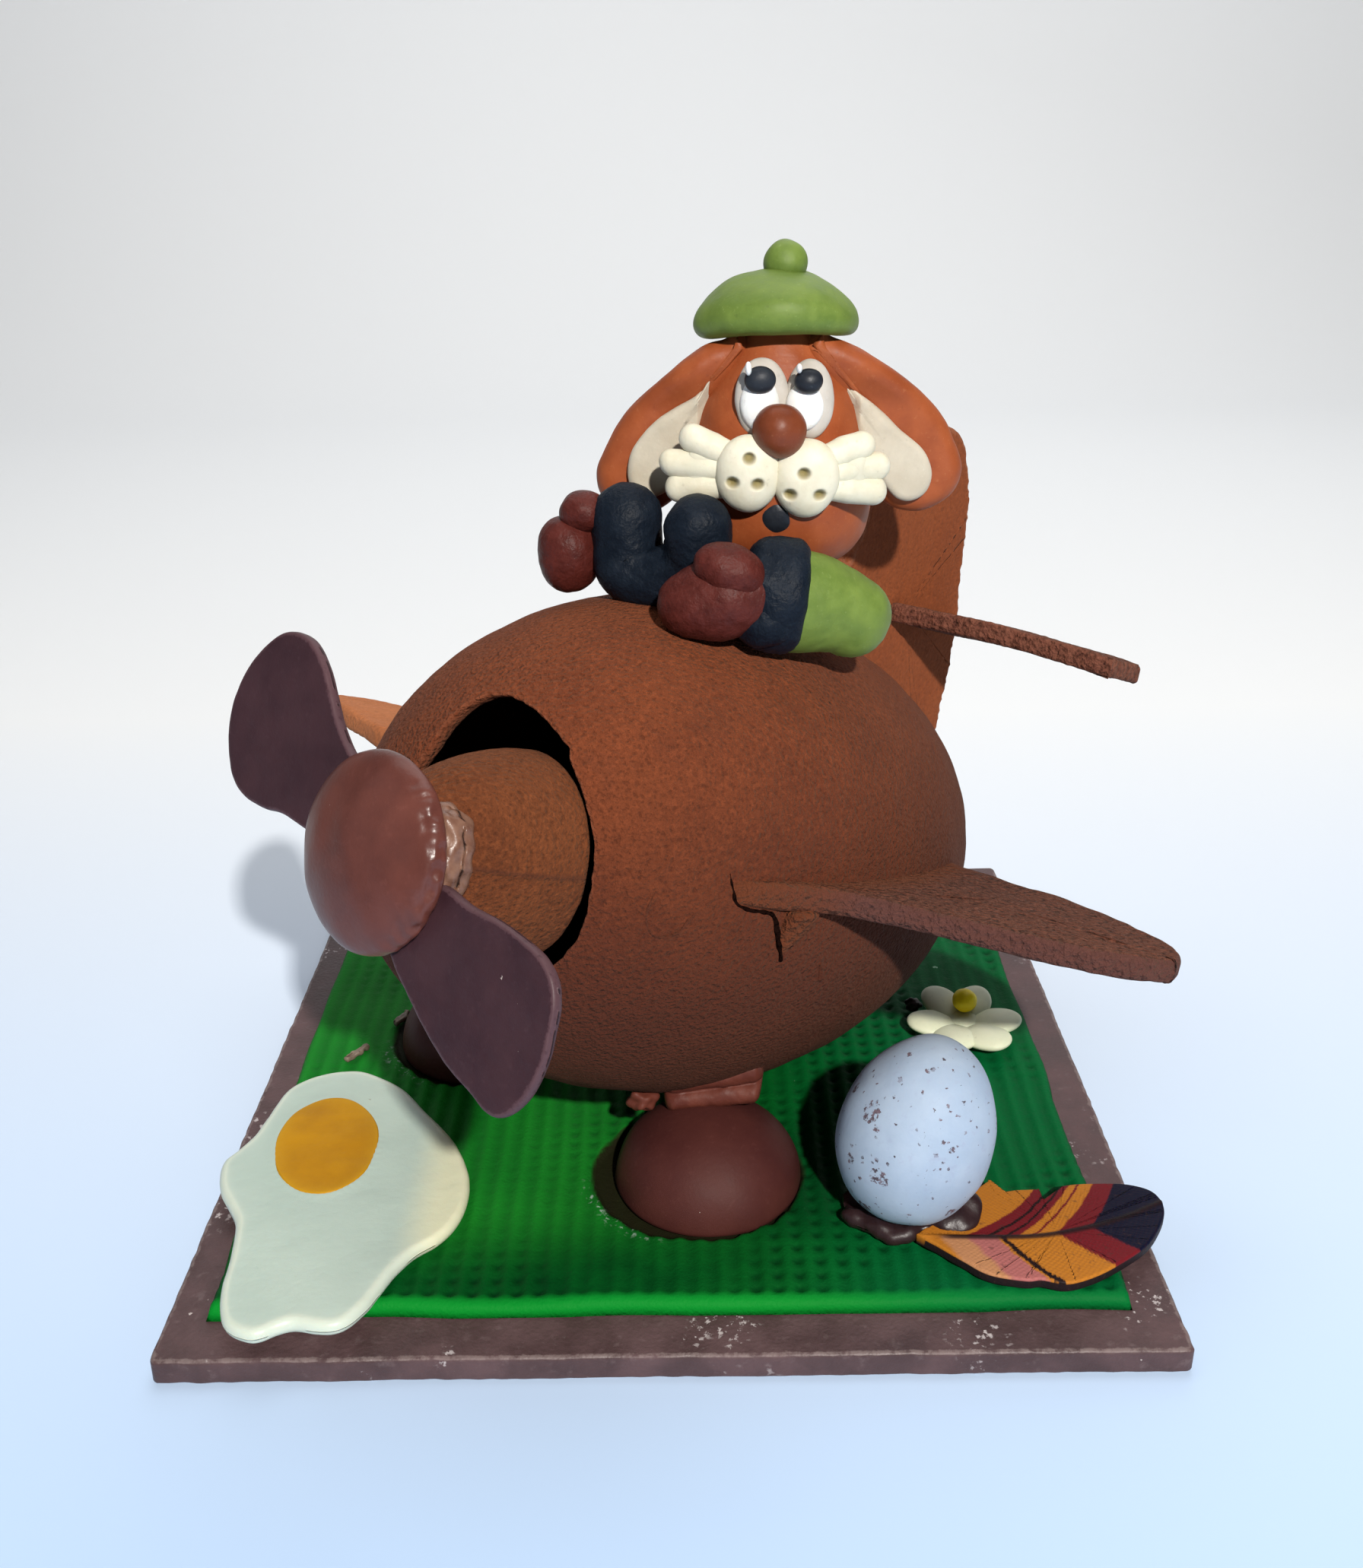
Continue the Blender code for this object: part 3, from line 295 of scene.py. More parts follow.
def effect(name, inputs, outputs):
    """Empty node group, as (tree, its input node's outputs, its output node's inputs). inputs gives the
    default numbers, and None for a colour; of the outputs only Colour is one."""
    tree = bpy.data.node_groups.new(name, "ShaderNodeTree")
    for socket, value in inputs.items():
        kind = "NodeSocketColor" if value is None else "NodeSocketFloat"
        made = tree.interface.new_socket(socket, in_out="INPUT", socket_type=kind)
        if value is not None:
            made.default_value = value
    for socket in outputs:
        kind = "NodeSocketColor" if socket == "Colour" else "NodeSocketFloat"
        tree.interface.new_socket(socket, in_out="OUTPUT", socket_type=kind)
    return tree, tree.nodes.new("NodeGroupInput").outputs, tree.nodes.new("NodeGroupOutput").inputs


def maths(tree, operation, a, b):
    """What a Math node makes of two numbers."""
    return add(tree, "ShaderNodeMath", [(0, a), (1, b)], operation=operation).outputs[0]


def noise(tree, scale, detail, roughness=0.5):
    """Outputs of noise on Object coordinates."""
    return add(tree, "ShaderNodeTexNoise", [("Vector", local(tree)), ("Scale", scale), ("Detail", detail),
                                            ("Roughness", roughness)]).outputs


def per_metre(tree, size):
    """Texture scale on Object coordinates for a size in millimetres."""
    return maths(tree, "DIVIDE", 1000.0, size)


# Mottle: two colours, mixed by cloudy noise of a size in millimetres.
mottle, given, result = effect("mottle", {"First": None, "Second": None, "Size": 8.0, "Share": 0.5,
                                          "Softness": 0.15}, ("Colour", "Mask"))
cloud = noise(mottle, per_metre(mottle, given["Size"]), 5.0, 0.6)["Fac"]
low = maths(mottle, "SUBTRACT", given["Share"], given["Softness"])
high = maths(mottle, "ADD", given["Share"], given["Softness"])
step = add(mottle, "ShaderNodeMapRange", [("Value", cloud), ("From Min", low), ("From Max", high)],
           interpolation_type="SMOOTHSTEP").outputs["Result"]
blend = add(mottle, "ShaderNodeMix", [("Factor", step), (6, given["First"]), (7, given["Second"])],
            data_type="RGBA")
mottle.links.new(blend.outputs[2], result["Colour"])
mottle.links.new(step, result["Mask"])

# Grain: bump height from two sizes of noise, in millimetres.
grain, given, result = effect("grain", {"Size": 0.8, "Broad Size": 4.0, "Broad Share": 0.3}, ("Height",))
fine = noise(grain, per_metre(grain, given["Size"]), 3.0)["Fac"]
broad = noise(grain, per_metre(grain, given["Broad Size"]), 2.0)["Fac"]
blend = add(grain, "ShaderNodeMix", [("Factor", given["Broad Share"]), (2, fine), (3, broad)])
grain.links.new(blend.outputs[0], result["Height"])

# Crumbs: small irregular flecks in some cells of a cell pattern, whose coordinates are shaken by fine noise.
SHAKE = (0.0013, 0.0013, 0.0013)
crumbs, given, result = effect("crumbs", {"Spacing": 3.0, "Chance": 0.2, "Width": 0.2}, ("Mask",))
jag = noise(crumbs, 1300.0, 3.0)["Color"]
shift = add(crumbs, "ShaderNodeVectorMath", [(0, jag), (1, SHAKE)], operation="MULTIPLY").outputs[0]
spot = add(crumbs, "ShaderNodeVectorMath", [(0, local(crumbs)), (1, shift)], operation="ADD").outputs[0]
cell = add(crumbs, "ShaderNodeTexVoronoi", [("Vector", spot),
                                            ("Scale", per_metre(crumbs, given["Spacing"]))]).outputs
pick = add(crumbs, "ShaderNodeSeparateColor", [("Color", cell["Color"])]).outputs
near = maths(crumbs, "LESS_THAN", cell["Distance"], maths(crumbs, "MULTIPLY", pick[1], given["Width"]))
some = maths(crumbs, "LESS_THAN", pick[0], given["Chance"])
crumbs.links.new(maths(crumbs, "MULTIPLY", near, some), result["Mask"])


def painted(tree, name):
    """Values of the mesh's own attribute of that name, 0 on a mesh without it."""
    return add(tree, "ShaderNodeAttribute", attribute_name=name).outputs["Fac"]


# Worn rim: the piece's own edge mask, broken up by noise.
worn_rim, given, result = effect("worn rim", {"Size": 1.5, "Amount": 0.5}, ("Mask",))
scratch = noise(worn_rim, per_metre(worn_rim, given["Size"]), 4.0, 0.7)["Fac"]
sharp = maths(worn_rim, "POWER", painted(worn_rim, "edge"), 3.0)
total = maths(worn_rim, "ADD", maths(worn_rim, "MULTIPLY", sharp, given["Amount"]), scratch)
worn_rim.links.new(ranged(worn_rim, total, 0.0, 1.0, 0.78, 0.95), result["Mask"])


def use(tree, group, **inputs):
    """Group node in a material, with its inputs by name (an underscore stands for a space)."""
    node = tree.nodes.new("ShaderNodeGroup")
    node.node_tree = group
    for key, value in inputs.items():
        socket = node.inputs[key.replace("_", " ")]
        if isinstance(value, bpy.types.NodeSocket):
            tree.links.new(value, socket)
        else:
            socket.default_value = (*value, 1) if isinstance(value, tuple) else value
    return node.outputs


def patches(tree, size, share, softness):
    """Mask of cloudy patches of a size in millimetres."""
    return use(tree, mottle, Size=size, Share=share, Softness=softness)["Mask"]


def flecks(tree, spacing, chance, width):
    """Mask of crumbs, about `spacing` millimetres apart."""
    return use(tree, crumbs, Spacing=spacing, Chance=chance, Width=width)["Mask"]


def coats(tree, colour, *layers):
    """Colour under layers of (mask, share, colour), laid on in turn. A mask is a socket, the name of the
    mesh's own attribute, or a function that builds the mask in the tree."""
    for mask, share, top in layers:
        mask = painted(tree, mask) if isinstance(mask, str) else mask
        mask = mask(tree) if callable(mask) else mask
        top = (*top, 1) if isinstance(top, tuple) else top
        mix = [("Factor", ranged(tree, mask, 0.0, share)), (6, colour), (7, top)]
        colour = add(tree, "ShaderNodeMix", mix, data_type="RGBA").outputs[2]
    return colour


def scaled(colour, factor, plus=0.0):
    """Colour made lighter or darker, up to white."""
    return tuple(min(1.0, factor * c + plus) for c in colour)


def finish(name, roughness, specular=0.3, sheen=0.0, flesh=0.0):
    """Material with a Principled shader, as (material, tree, shader). flesh is its subsurface share."""
    material = bpy.data.materials.new(name)
    material.use_nodes = True
    shader = material.node_tree.nodes["Principled BSDF"]
    for socket, value in (("Roughness", roughness), ("Specular IOR Level", specular), ("Sheen Weight", sheen),
                          ("Coat Roughness", 0.25), ("Subsurface Weight", flesh),
                          ("Subsurface Radius", (1.0, 0.5, 0.3)), ("Subsurface Scale", 0.002)):
        shader.inputs[socket].default_value = value
    return material, material.node_tree, shader


def grainy(tree, size, broad, share):
    """Height of grain of two sizes in millimetres, the broad one by its share."""
    return use(tree, grain, Size=size, Broad_Size=broad, Broad_Share=share)["Height"]


def dressed(tree, shader, colour, depth, height):
    """Colour on the shader, and a bump `depth` millimetres deep from the height."""
    tree.links.new(colour, shader.inputs["Base Color"])
    bump = add(tree, "ShaderNodeBump", [("Height", height), ("Distance", depth * MM)])
    tree.links.new(bump.outputs[0], shader.inputs["Normal"])


slab_finish, t, shader = finish("slab chocolate", 0.58, specular=0.28)
clouds = use(t, mottle, First=(0.064, 0.036, 0.037), Second=(0.112, 0.065, 0.068), Size=14.0, Softness=0.2)
knocks = maths(t, "MULTIPLY", patches(t, 24.0, 0.60, 0.04), patches(t, 1.5, 0.60, 0.03))
colour = coats(t, clouds["Colour"], (patches(t, 3.0, 0.66, 0.10), 0.22, (0.26, 0.20, 0.20)),
               (use(t, worn_rim, Size=2.6, Amount=0.42)["Mask"], 0.26, (0.42, 0.34, 0.32)),
               (knocks, 0.75, (0.58, 0.52, 0.52)), (flecks(t, 2.2, 0.03, 0.20), 0.8, (0.55, 0.48, 0.46)))
t.links.new(ranged(t, clouds["Mask"], 0.42, 0.62), shader.inputs["Roughness"])
dressed(t, shader, colour, 0.35, grainy(t, 0.9, 5.0, 0.5))

SLAB_SIDE, SLAB_T, CORNER_R, RIM_EASE = 200.0, 5.6, 1.6, 0.8
INNER, RIM = 12, 6
h = SLAB_SIDE / 2 - CORNER_R
arc = np.linspace(0, np.pi / 2, 6)[:-1]
corner = np.stack([h + CORNER_R * np.cos(arc), h + CORNER_R * np.sin(arc)], 1)
turns = [corner @ np.array([[np.cos(a), np.sin(a)], [-np.sin(a), np.cos(a)]])
         for a in np.arange(4) * np.pi / 2]
legs = []
for k in range(4):
    a, b = turns[k][-1], turns[(k + 1) % 4][0]
    legs += [turns[k], a + np.linspace(0, 1, 230)[1:-1, None] * (b - a)]
knocked = nibbled(np.concatenate(legs), ((0.07, 30, 3), (0.035, 4, 4)), 0.15, -0.1, 0.5)
rings, edge = plate_rings(knocked, 0, SLAB_T, RIM_EASE, RIM_EASE, inner=INNER, rim=RIM)
# Both faces' rows are drawn together towards the rim, and the edge mask follows them.
even = np.concatenate([np.linspace(0.02, 1, INNER + 1)[:-1], np.ones(RIM)])
drawn = np.concatenate([1 - np.linspace(1, 0, INNER + 1)[:-1] ** 2.2 * 0.98, np.ones(RIM)])
face = INNER + RIM
rings[:face, :, :2] *= (drawn / even)[:, None, None]
rings[face:, :, :2] = rings[:face, :, :2][::-1]
edge[:INNER] = np.exp(-(1 - drawn[:INNER, None]) * 100 / 1.6)
edge[-INNER:] = edge[:INNER][::-1]
chipped = (0.04 * waves(rings, 3.5, 5) * (rings[..., 2] > 0.05) * (edge > 0.8))[..., None]
rings[..., :2] += chipped * np.sign(rings[..., :2])
edge[face - 2:face + 2] = 0.40
piece("slab", rings, slab_finish, "slab_choc", "base_slab", edge=edge)

# ---- Grass mat
# A sheet of green sugar grass, 3 mm thick, rolled on a ribbed board: ridges run from front to back with
# rows of small pits between them. It lies on the slab, and the half-egg wheels stand in two round pockets.
MAT_X, MAT_Y, MAT_LOW, MAT_TOP, MAT_PITCH, PIT_PITCH = (-92.0, 91.0), (-89.5, 90.0), 5.9, 9.0, 4.36, 3.9
POCKET_R, POCKET_FLOOR = 20.95, 7.2
WHEEL_R, WHEEL_H, WHEEL_NEAR, WHEEL_FAR = 20.3, 17.3, (8.0, -49.6, 7.5), (-47.8, 5.2, 7.5)


def eased(x):
    """0 below 0, 1 above 1 and the cubic 3x^2 - 2x^3 between."""
    x = np.clip(x, 0, 1)
    return x * x * (3 - 2 * x)


x, y = np.meshgrid(np.linspace(*MAT_X, 300), np.linspace(*MAT_Y, 244))
flat = np.dstack([x, y, np.zeros_like(x)])
front, back = y - MAT_Y[0], MAT_Y[1] - y
sides = np.minimum(x - MAT_X[0], MAT_X[1] - x)
valley = 0.5 + 0.5 * np.cos(2 * np.pi * (x - MAT_X[0]) / MAT_PITCH + 0.25 * waves(flat, 60, 11))
row = 0.5 + 0.5 * np.cos(2 * np.pi * front / PIT_PITCH + 0.3 * waves(flat, 50, 12))
pit = valley ** 1.5 * row ** 1.5
lit_side = 1 - 0.55 * eased((20 - x) / 50) * eased((y + 70) / 24)
pressed = 0.15 + 0.85 * eased(0.42 + 0.75 * waves(flat, 45, 13)) * lit_side
ribbed = eased((front - 2.0) / 2.5)
top = MAT_TOP - 0.15 - (0.50 * valley + 0.60 * pit * pressed) * ribbed + 0.12 * waves(flat, 28, 14)
height = (top - MAT_LOW).clip(0, 3.1)
for gap, reach in ((front, 3.4), (back, 2.2), (sides, 1.8)):
    height = height * np.sqrt(1 - (1 - np.clip(gap / reach, 0, 1)) ** 2)
pocket, dusted = np.zeros_like(x), np.zeros_like(x)
for wheel, slide in ((WHEEL_NEAR, 4.9), (WHEEL_FAR, 2.0)):
    off = np.hypot(x - np.clip(x, wheel[0] - slide, wheel[0]), y - wheel[1]) + 0.25 * waves(flat, 11, 15)
    inside = eased((POCKET_R - off) / 1.1)
    height = height * (1 - inside) + (POCKET_FLOOR - MAT_LOW) * inside
    pocket = np.maximum(pocket, eased((POCKET_R + 0.35 - off) / 0.8))
    low_left = eased((wheel[0] - 8 - x) / 10) * eased((wheel[1] - y) / 8)
    dusted = np.maximum(dusted, np.exp(-((off - POCKET_R - 0.95) / 0.9) ** 2) * low_left)
# Painted sunlight: a brighter green over the left of the mat, away from its front edge.
sunlit_grass = eased((28 - x) / 62) * eased((y + 84) / 24) * (0.78 + 0.22 * eased(0.5 + 0.5 * waves(flat, 34, 18)))
# Painted shade: the pit colour darkens the pits and valleys of the ribs, and a painted shadow of the fuselage
# lies right of the near wheel.
deep = np.maximum(pit * pressed, 0.30 * valley) * ribbed
fuselage_shadow = 0.55 * eased(1.5 - np.hypot((x - 33) / 24, (y + 50) / 20))
# Painted light: a lighter green on the rolled front rim, fading into shade towards the right.
lit_front_rim = (1 - eased((front - 1.6) / 2.4)) * (1 - 0.75 * eased((x - 10) / 65))
flat[..., 0] -= (0.35 * waves(flat, 26, 16)).clip(-0.5, 0.5) * np.exp(-sides / 6) * np.sign(x)
flat[..., 1] += (0.35 * waves(flat, 30, 17)).clip(-0.1, 0.6) * np.exp(-front / 6)
grid = np.dstack([flat[..., :2], MAT_LOW + height])
ny, nx = x.shape
index = np.arange(ny * nx).reshape(ny, nx)
quads = np.stack([index[:-1, :-1], index[:-1, 1:], index[1:, 1:], index[1:, :-1]], -1).reshape(-1, 4)
border = np.concatenate([index[0, :-1], index[:-1, -1], index[-1, :0:-1], index[:0:-1, 0]])
tris = np.stack([np.roll(border, -1), border, np.full(len(border), ny * nx)], -1)
spots = np.concatenate([grid.reshape(-1, 3), [[0, 0, MAT_LOW]]])
starts = np.concatenate([4 * np.arange(len(quads)), 4 * len(quads) + 3 * np.arange(len(tris))])
marks = {"pit": np.maximum(deep, fuselage_shadow), "lit_band": lit_front_rim, "pocket": pocket, "dust": dusted,
         "sunlit_grass": sunlit_grass,
         "cool": eased((x - 15) / 45)}
grass_finish, t, shader = finish("sugar grass", 0.55, specular=0.05)
blades = use(t, mottle, First=(0.0006, 0.042, 0.008), Second=(0.002, 0.105, 0.014), Size=30.0, Softness=0.24)
scuff = maths(t, "MULTIPLY", painted(t, "dust"), patches(t, 1.3, 0.60, 0.06))
colour = coats(t, blades["Colour"], ("cool", 0.75, (0.001, 0.120, 0.034)),
               ("sunlit_grass", 0.85, (0.012, 0.230, 0.020)),
               ("pit", 0.85, (0.0005, 0.020, 0.005)), ("lit_band", 0.85, (0.003, 0.25, 0.024)),
               ("pocket", 0.97, (0.013, 0.009, 0.005)), (scuff, 1.0, (0.34, 0.44, 0.38)),
               (flecks(t, 6.0, 0.06, 0.12), 0.7, (0.35, 0.60, 0.42)))
dressed(t, shader, colour, 0.28, grainy(t, 0.7, 2.4, 0.5))
body_of("grass_sheet", spots, np.concatenate([quads.reshape(-1), tris.reshape(-1)]), starts, grass_finish,
        "grass_mat", {name: np.append(mark.reshape(-1), 0) for name, mark in marks.items()})

# ---- Fuselage
# A hollow chocolate egg, 168 mm long with a 3 mm wall, lying nose up. It was sprayed with warm cocoa
# butter, which sets as a fine velvet. A round opening was melted in its nose end with a hot tin.
# EC is the egg's centre, and EA, EW and EU are its forward, right and up directions. NC, NA, NW and NU
# are the same for the nose's opening.
EC = np.array([0.4, -7.1, 69.6])
EGG_FRONT, EGG_BACK, EGG_R, EGG_WALL = 78.0, 90.2, 56.2, 3.0


def axes(yaw, pitch):
    """(forward, right, up) of a frame whose forward points to the front left and up, by its yaw and pitch in
    degrees."""
    p, t = np.radians(yaw), np.radians(pitch)
    a = np.array([-np.sin(p) * np.cos(t), -np.cos(p) * np.cos(t), np.sin(t)])
    w = np.array([np.cos(p), -np.sin(p), 0.0])
    u = np.cross(a, w)
    return a, w, u * np.sign(u[2])


EA, EW, EU = axes(44.0, 18.0)
NC = np.array([-27.9, -58.0, 91.7])
NA, NW, NU = axes(42.0, 22.0)


def reach_of(d, off=0.0):
    """Distance from the egg's centre to its skin along unit directions d: two half ellipsoids that share
    their waist."""
    a = d @ EA
    length = np.where(a > 0, EGG_FRONT, EGG_BACK) + off
    return 1 / np.sqrt((a / length) ** 2 + (1 - a * a).clip(0) / (EGG_R + off) ** 2)


def seated(p, depth):
    """Points inside the egg moved straight out from its centre until they lie `depth` under its skin."""
    q = p - EC
    r = np.linalg.norm(q, axis=-1)
    d = q / r[..., None]
    return EC + d * np.maximum(r, reach_of(d, -depth))[..., None]


def rolled(path, radii, squash=1.0, rows=60, seg=64):
    """Rings of a roll with round ends: circles square to a smooth path, their radius eased between the given
    ones and falling as a half circle past both ends. squash flattens them along the second side."""
    line = curve(path, rows)
    t = np.gradient(line, axis=0)
    t /= np.linalg.norm(t, axis=1)[:, None]
    r = np.interp(np.linspace(0, len(radii) - 1, rows), np.arange(len(radii)), radii)
    q = np.sin(np.linspace(np.pi / 2 - 0.05, 0.12, 9))[:, None]
    line = np.concatenate([line[0] - q * r[0] * t[0], line, line[-1] + q[::-1] * r[-1] * t[-1]])
    t = np.concatenate([np.repeat(t[:1], 9, 0), t, np.repeat(t[-1:], 9, 0)])
    cap = np.sqrt(1 - q[:, 0] ** 2)
    r = np.concatenate([r[0] * cap, r, r[-1] * cap[::-1]])
    side = np.cross(t, Y)
    side /= np.linalg.norm(side, axis=1)[:, None]
    other = np.cross(side, t)
    a = np.linspace(0, 2 * np.pi, seg, endpoint=False)[None, :, None]
    return line[:, None] + r[:, None, None] * (np.cos(a) * side[:, None] + squash * np.sin(a)
                                               * other[:, None])


OPENING = ((-17.8, 14.6), (-17.8, 18.1), (-17.4, 21.7), (-16.1, 25.3), (-13.6, 28.1), (-10.4, 29.3),
           (-6.3, 29.3), (-1.0, 28.3), (4.3, 25.7), (8.8, 22.3), (13.1, 17.6), (16.5, 12.7), (18.8, 8.2),
           (20.2, 1.5), (20.5, -4.3), (19.8, -9.1), (18.5, -12.9), (16.3, -16.6), (11.0, -20.0),
           (4.0, -21.6), (-4.0, -21.5), (-11.0, -19.0), (-17.0, -13.5), (-20.2, -6.5), (-21.0, 1.0),
           (-19.8, 8.0))
melted = curve(OPENING, 300, closed=True)
nick = 0.5 * np.exp(-np.sum((melted - (7.6, 23.2)) ** 2, axis=1) / 2.0)
melted = nibbled(melted, ((0.07, 9, 21), (0.05, 2.4, 22)), -nick)
edge_line = NC + melted[:, :1] * NW + melted[:, 1:] * NU


def met(line, off):
    """Where lines along the nose's axis leave the egg's skin, by halving the span 40 times."""
    low, high = np.full(len(line), -60.0), np.full(len(line), 60.0)
    for _ in range(40):
        mid = (low + high) / 2
        q = line + mid[:, None] * NA - EC
        r = np.linalg.norm(q, axis=1)
        out = r > reach_of(q / r[:, None], off)
        low, high = np.where(out, low, mid), np.where(out, mid, high)
    return line + low[:, None] * NA


def cupped(off, rows, start):
    """Rings from the egg's far end to the opening's rim: directions swing along great circles, then meet the
    skin."""
    rim = met(edge_line, off) - EC
    d0 = rim / np.linalg.norm(rim, axis=1)[:, None]
    d1 = -d0.mean(0) / np.linalg.norm(d0.mean(0))
    theta = np.arccos(np.clip(d0 @ d1, -1, 1))[:, None]
    s = np.linspace(start, 1, rows)[:, None, None]
    d = (np.sin((1 - s) * theta) * d1 + np.sin(s * theta) * d0) / np.sin(theta)
    d /= np.linalg.norm(d, axis=-1)[..., None]
    return EC + d * reach_of(d, off)[..., None]


outer, inner = cupped(0.0, 210, 0.004), cupped(-EGG_WALL, 56, 0.004)
outer = rough(outer, (0.07, 14.0, 23), (0.03, 3.6, 24))
onward = outer[-1] - outer[-2]
onward /= np.linalg.norm(onward, axis=1)[:, None]
turn = np.linspace(0, np.pi, 9)[1:-1, None, None]
lip = (outer[-1] + inner[-1]) / 2 + np.cos(turn) * (outer[-1] - inner[-1]) / 2 + 0.9 * np.sin(turn) * onward
shell = np.concatenate([outer, lip, inner[::-1]])
gap = np.linalg.norm(outer - outer[-1], axis=-1)
worn = np.concatenate([np.exp(-gap / 1.3), np.ones(lip.shape[:2]), np.zeros(inner.shape[:2])])
hidden = np.concatenate([np.zeros(outer.shape[:2]),
                         np.broadcast_to(np.linspace(0, 1, 7)[:, None], lip.shape[:2]),
                         np.ones(inner.shape[:2])])


def velvet(name, light, dark, wear, depth, grain_shading=0.5, size=0.85, coat=()):
    """Cocoa velvet, as (material, tree, shader): cloudy brown with a pebbled grain, pale flecks as painted
    highlights and painted shade in the grain's low spots, a thin scraped rim, and more coats over it. Its
    bump is `depth` millimetres deep."""
    material, t, shader = finish(name, 0.88, specular=0.12, sheen=0.05)
    shader.inputs["Sheen Roughness"].default_value = 0.5
    shader.inputs["Sheen Tint"].default_value = (1.0, 0.60, 0.38, 1)
    clouds = use(t, mottle, First=dark, Second=light, Size=26.0, Softness=0.25)["Colour"]
    height = grainy(t, size, 2.4 * size, 0.15)
    # Painted shade in the low spots of the grain's bump.
    pits = ranged(t, height, 1.0, 0.0, 0.34, 0.47)
    scraped = use(t, worn_rim, Size=1.4, Amount=0.40)["Mask"]
    colour = coats(t, clouds, (patches(t, 1.1, 0.56, 0.10), 0.75 * grain_shading, scaled(light, 1.65)),
                   (pits, grain_shading, scaled(dark, 0.30)), (scraped, 0.5, wear), *coat)
    dressed(t, shader, colour, depth, height)
    return material, t, shader


def drips(tree):
    """Mask of faint runs down the egg: noise stretched along a slant, where it is strong."""
    slanted = add(tree, "ShaderNodeMapping", [("Vector", local(tree)), ("Rotation", (0.0, 0.5, 0.7)),
                                              ("Scale", (160.0, 160.0, 38.0))]).outputs[0]
    runs = add(tree, "ShaderNodeTexNoise", [("Vector", slanted), ("Scale", 1.0), ("Detail", 3.0),
                                            ("Distortion", 0.6)]).outputs["Fac"]
    return ranged(tree, runs, 0.0, 1.0, 0.56, 0.74)


# Painted shade: one coat darkens the egg towards its bottom.
fuselage_finish = velvet("egg velvet", (0.192, 0.048, 0.017), (0.135, 0.033, 0.013), (0.24, 0.08, 0.04), 1.7,
                         grain_shading=0.45, coat=((drips, 0.22, (0.085, 0.027, 0.016)),
                                            ("hollow", 1.0, (0.095, 0.034, 0.018)),
                                            ("under", 0.85, (0.060, 0.015, 0.009))))[0]
SWIRL = ((42.4, 50.8, 5.0), (42.1, 51.6, 1.5), (42.3, 51.3, -1.6), (43.2, 49.6, -3.5), (44.4, 47.5, -3.5),
         (45.6, 45.5, -2.2), (46.4, 44.0, 0.4), (47.2, 42.1, 3.2), (48.4, 39.1, 4.9))
BEAD = ((54.9, 10.8, -9.0), (54.7, 10.0, -10.5), (54.5, 9.2, -12.0))


def on_skin(path):
    """Points given right, forward and up from the egg's centre, moved straight out or in on to its skin."""
    d = np.array(path) @ np.stack([EW, EA, EU])
    d /= np.linalg.norm(d, axis=1)[:, None]
    return EC + d * reach_of(d)[:, None]


SWIRL_RADII = (0.10, 0.18, 0.24, 0.34, 0.36, 0.30, 0.28, 0.22, 0.10)
swirl = rough(rolled(on_skin(SWIRL), SWIRL_RADII, rows=90, seg=12), (0.08, 2.6, 27))
bead = rolled(on_skin(BEAD), (0.45, 0.6, 0.85), squash=0.8, rows=24, seg=20)
skins = [shell, swirl, bead]
plain = [np.zeros(rings.shape[:2]) for rings in skins[1:]]
# The inner wall takes a darker colour, and the swirl a little of it as painted shade.
piece("egg_shell", skins, fuselage_finish, "cocoa", "fuselage", edge=[worn] + plain,
      hollow=[hidden, plain[0] + 0.55, plain[1]],
      under=[eased((128 - rings[..., 2]) / 74) for rings in skins])

# ---- Nose cone
# The blunt end of a small velvet egg whose open side stands in the fuselage's opening. A mould seam
# runs round its flank, and its tip was melted flat for the spinner.
def turned(profile, origin, axis, e1, e2, s1=1.0, s2=1.0, rows=60, seg=96):
    """Rings of a turned solid: a smooth (distance, radius) profile carried round the axis, s1 and s2 wide."""
    line = curve(profile, rows)
    q = np.linspace(0, 2 * np.pi, seg, endpoint=False)[:, None]
    wheel = s1 * np.cos(q) * e1 + s2 * np.sin(q) * e2
    return np.asarray(origin, float) + line[:, :1, None] * axis + line[:, 1:, None].clip(0.02) * wheel


NOSE_W, NOSE_H, NOSE_HALF, NOSE_END = 18.4, 20.6, 35.5, 31.0
bell = [(0.9, 0.0), (0.9, 9.0), (0.5, 17.0), (0.0, 19.4), (0.4, 20.3)]
bell += [(a, NOSE_H * np.sqrt(1 - (a / NOSE_HALF) ** 2)) for a in np.linspace(0.8, NOSE_END - 0.4, 12)]
bell += [(NOSE_END, 9.0), (NOSE_END, 4.0), (NOSE_END, 0.0)]
cone = turned(bell, NC, NA, NW, NU, NOSE_W / NOSE_H, 1.0, rows=100, seg=260)
cone = rough(cone, (0.05, 9.0, 31), (0.02, 2.2, 32))
along = ((cone - NC) @ NA)[..., None]
seam = np.exp(-(((cone - NC) @ NU - 1.2) / 0.45) ** 2) * (along[..., 0] > 0.5)
cone = cone + 0.38 * seam[..., None] * (cone - NC - along * NA) / 20
mouth_rim = np.exp(-((cone - NC) @ NA).clip(0) / 1.2)
nose_finish = velvet("nose velvet", (0.155, 0.045, 0.015), (0.108, 0.030, 0.011), (0.24, 0.08, 0.040), 1.2,
                     grain_shading=0.45, coat=(("seam", 0.65, (0.060, 0.020, 0.012)),))[0]
piece("nose_egg", cone, nose_finish, "cocoa", "nose_cone", edge=mouth_rim, seam=seam)

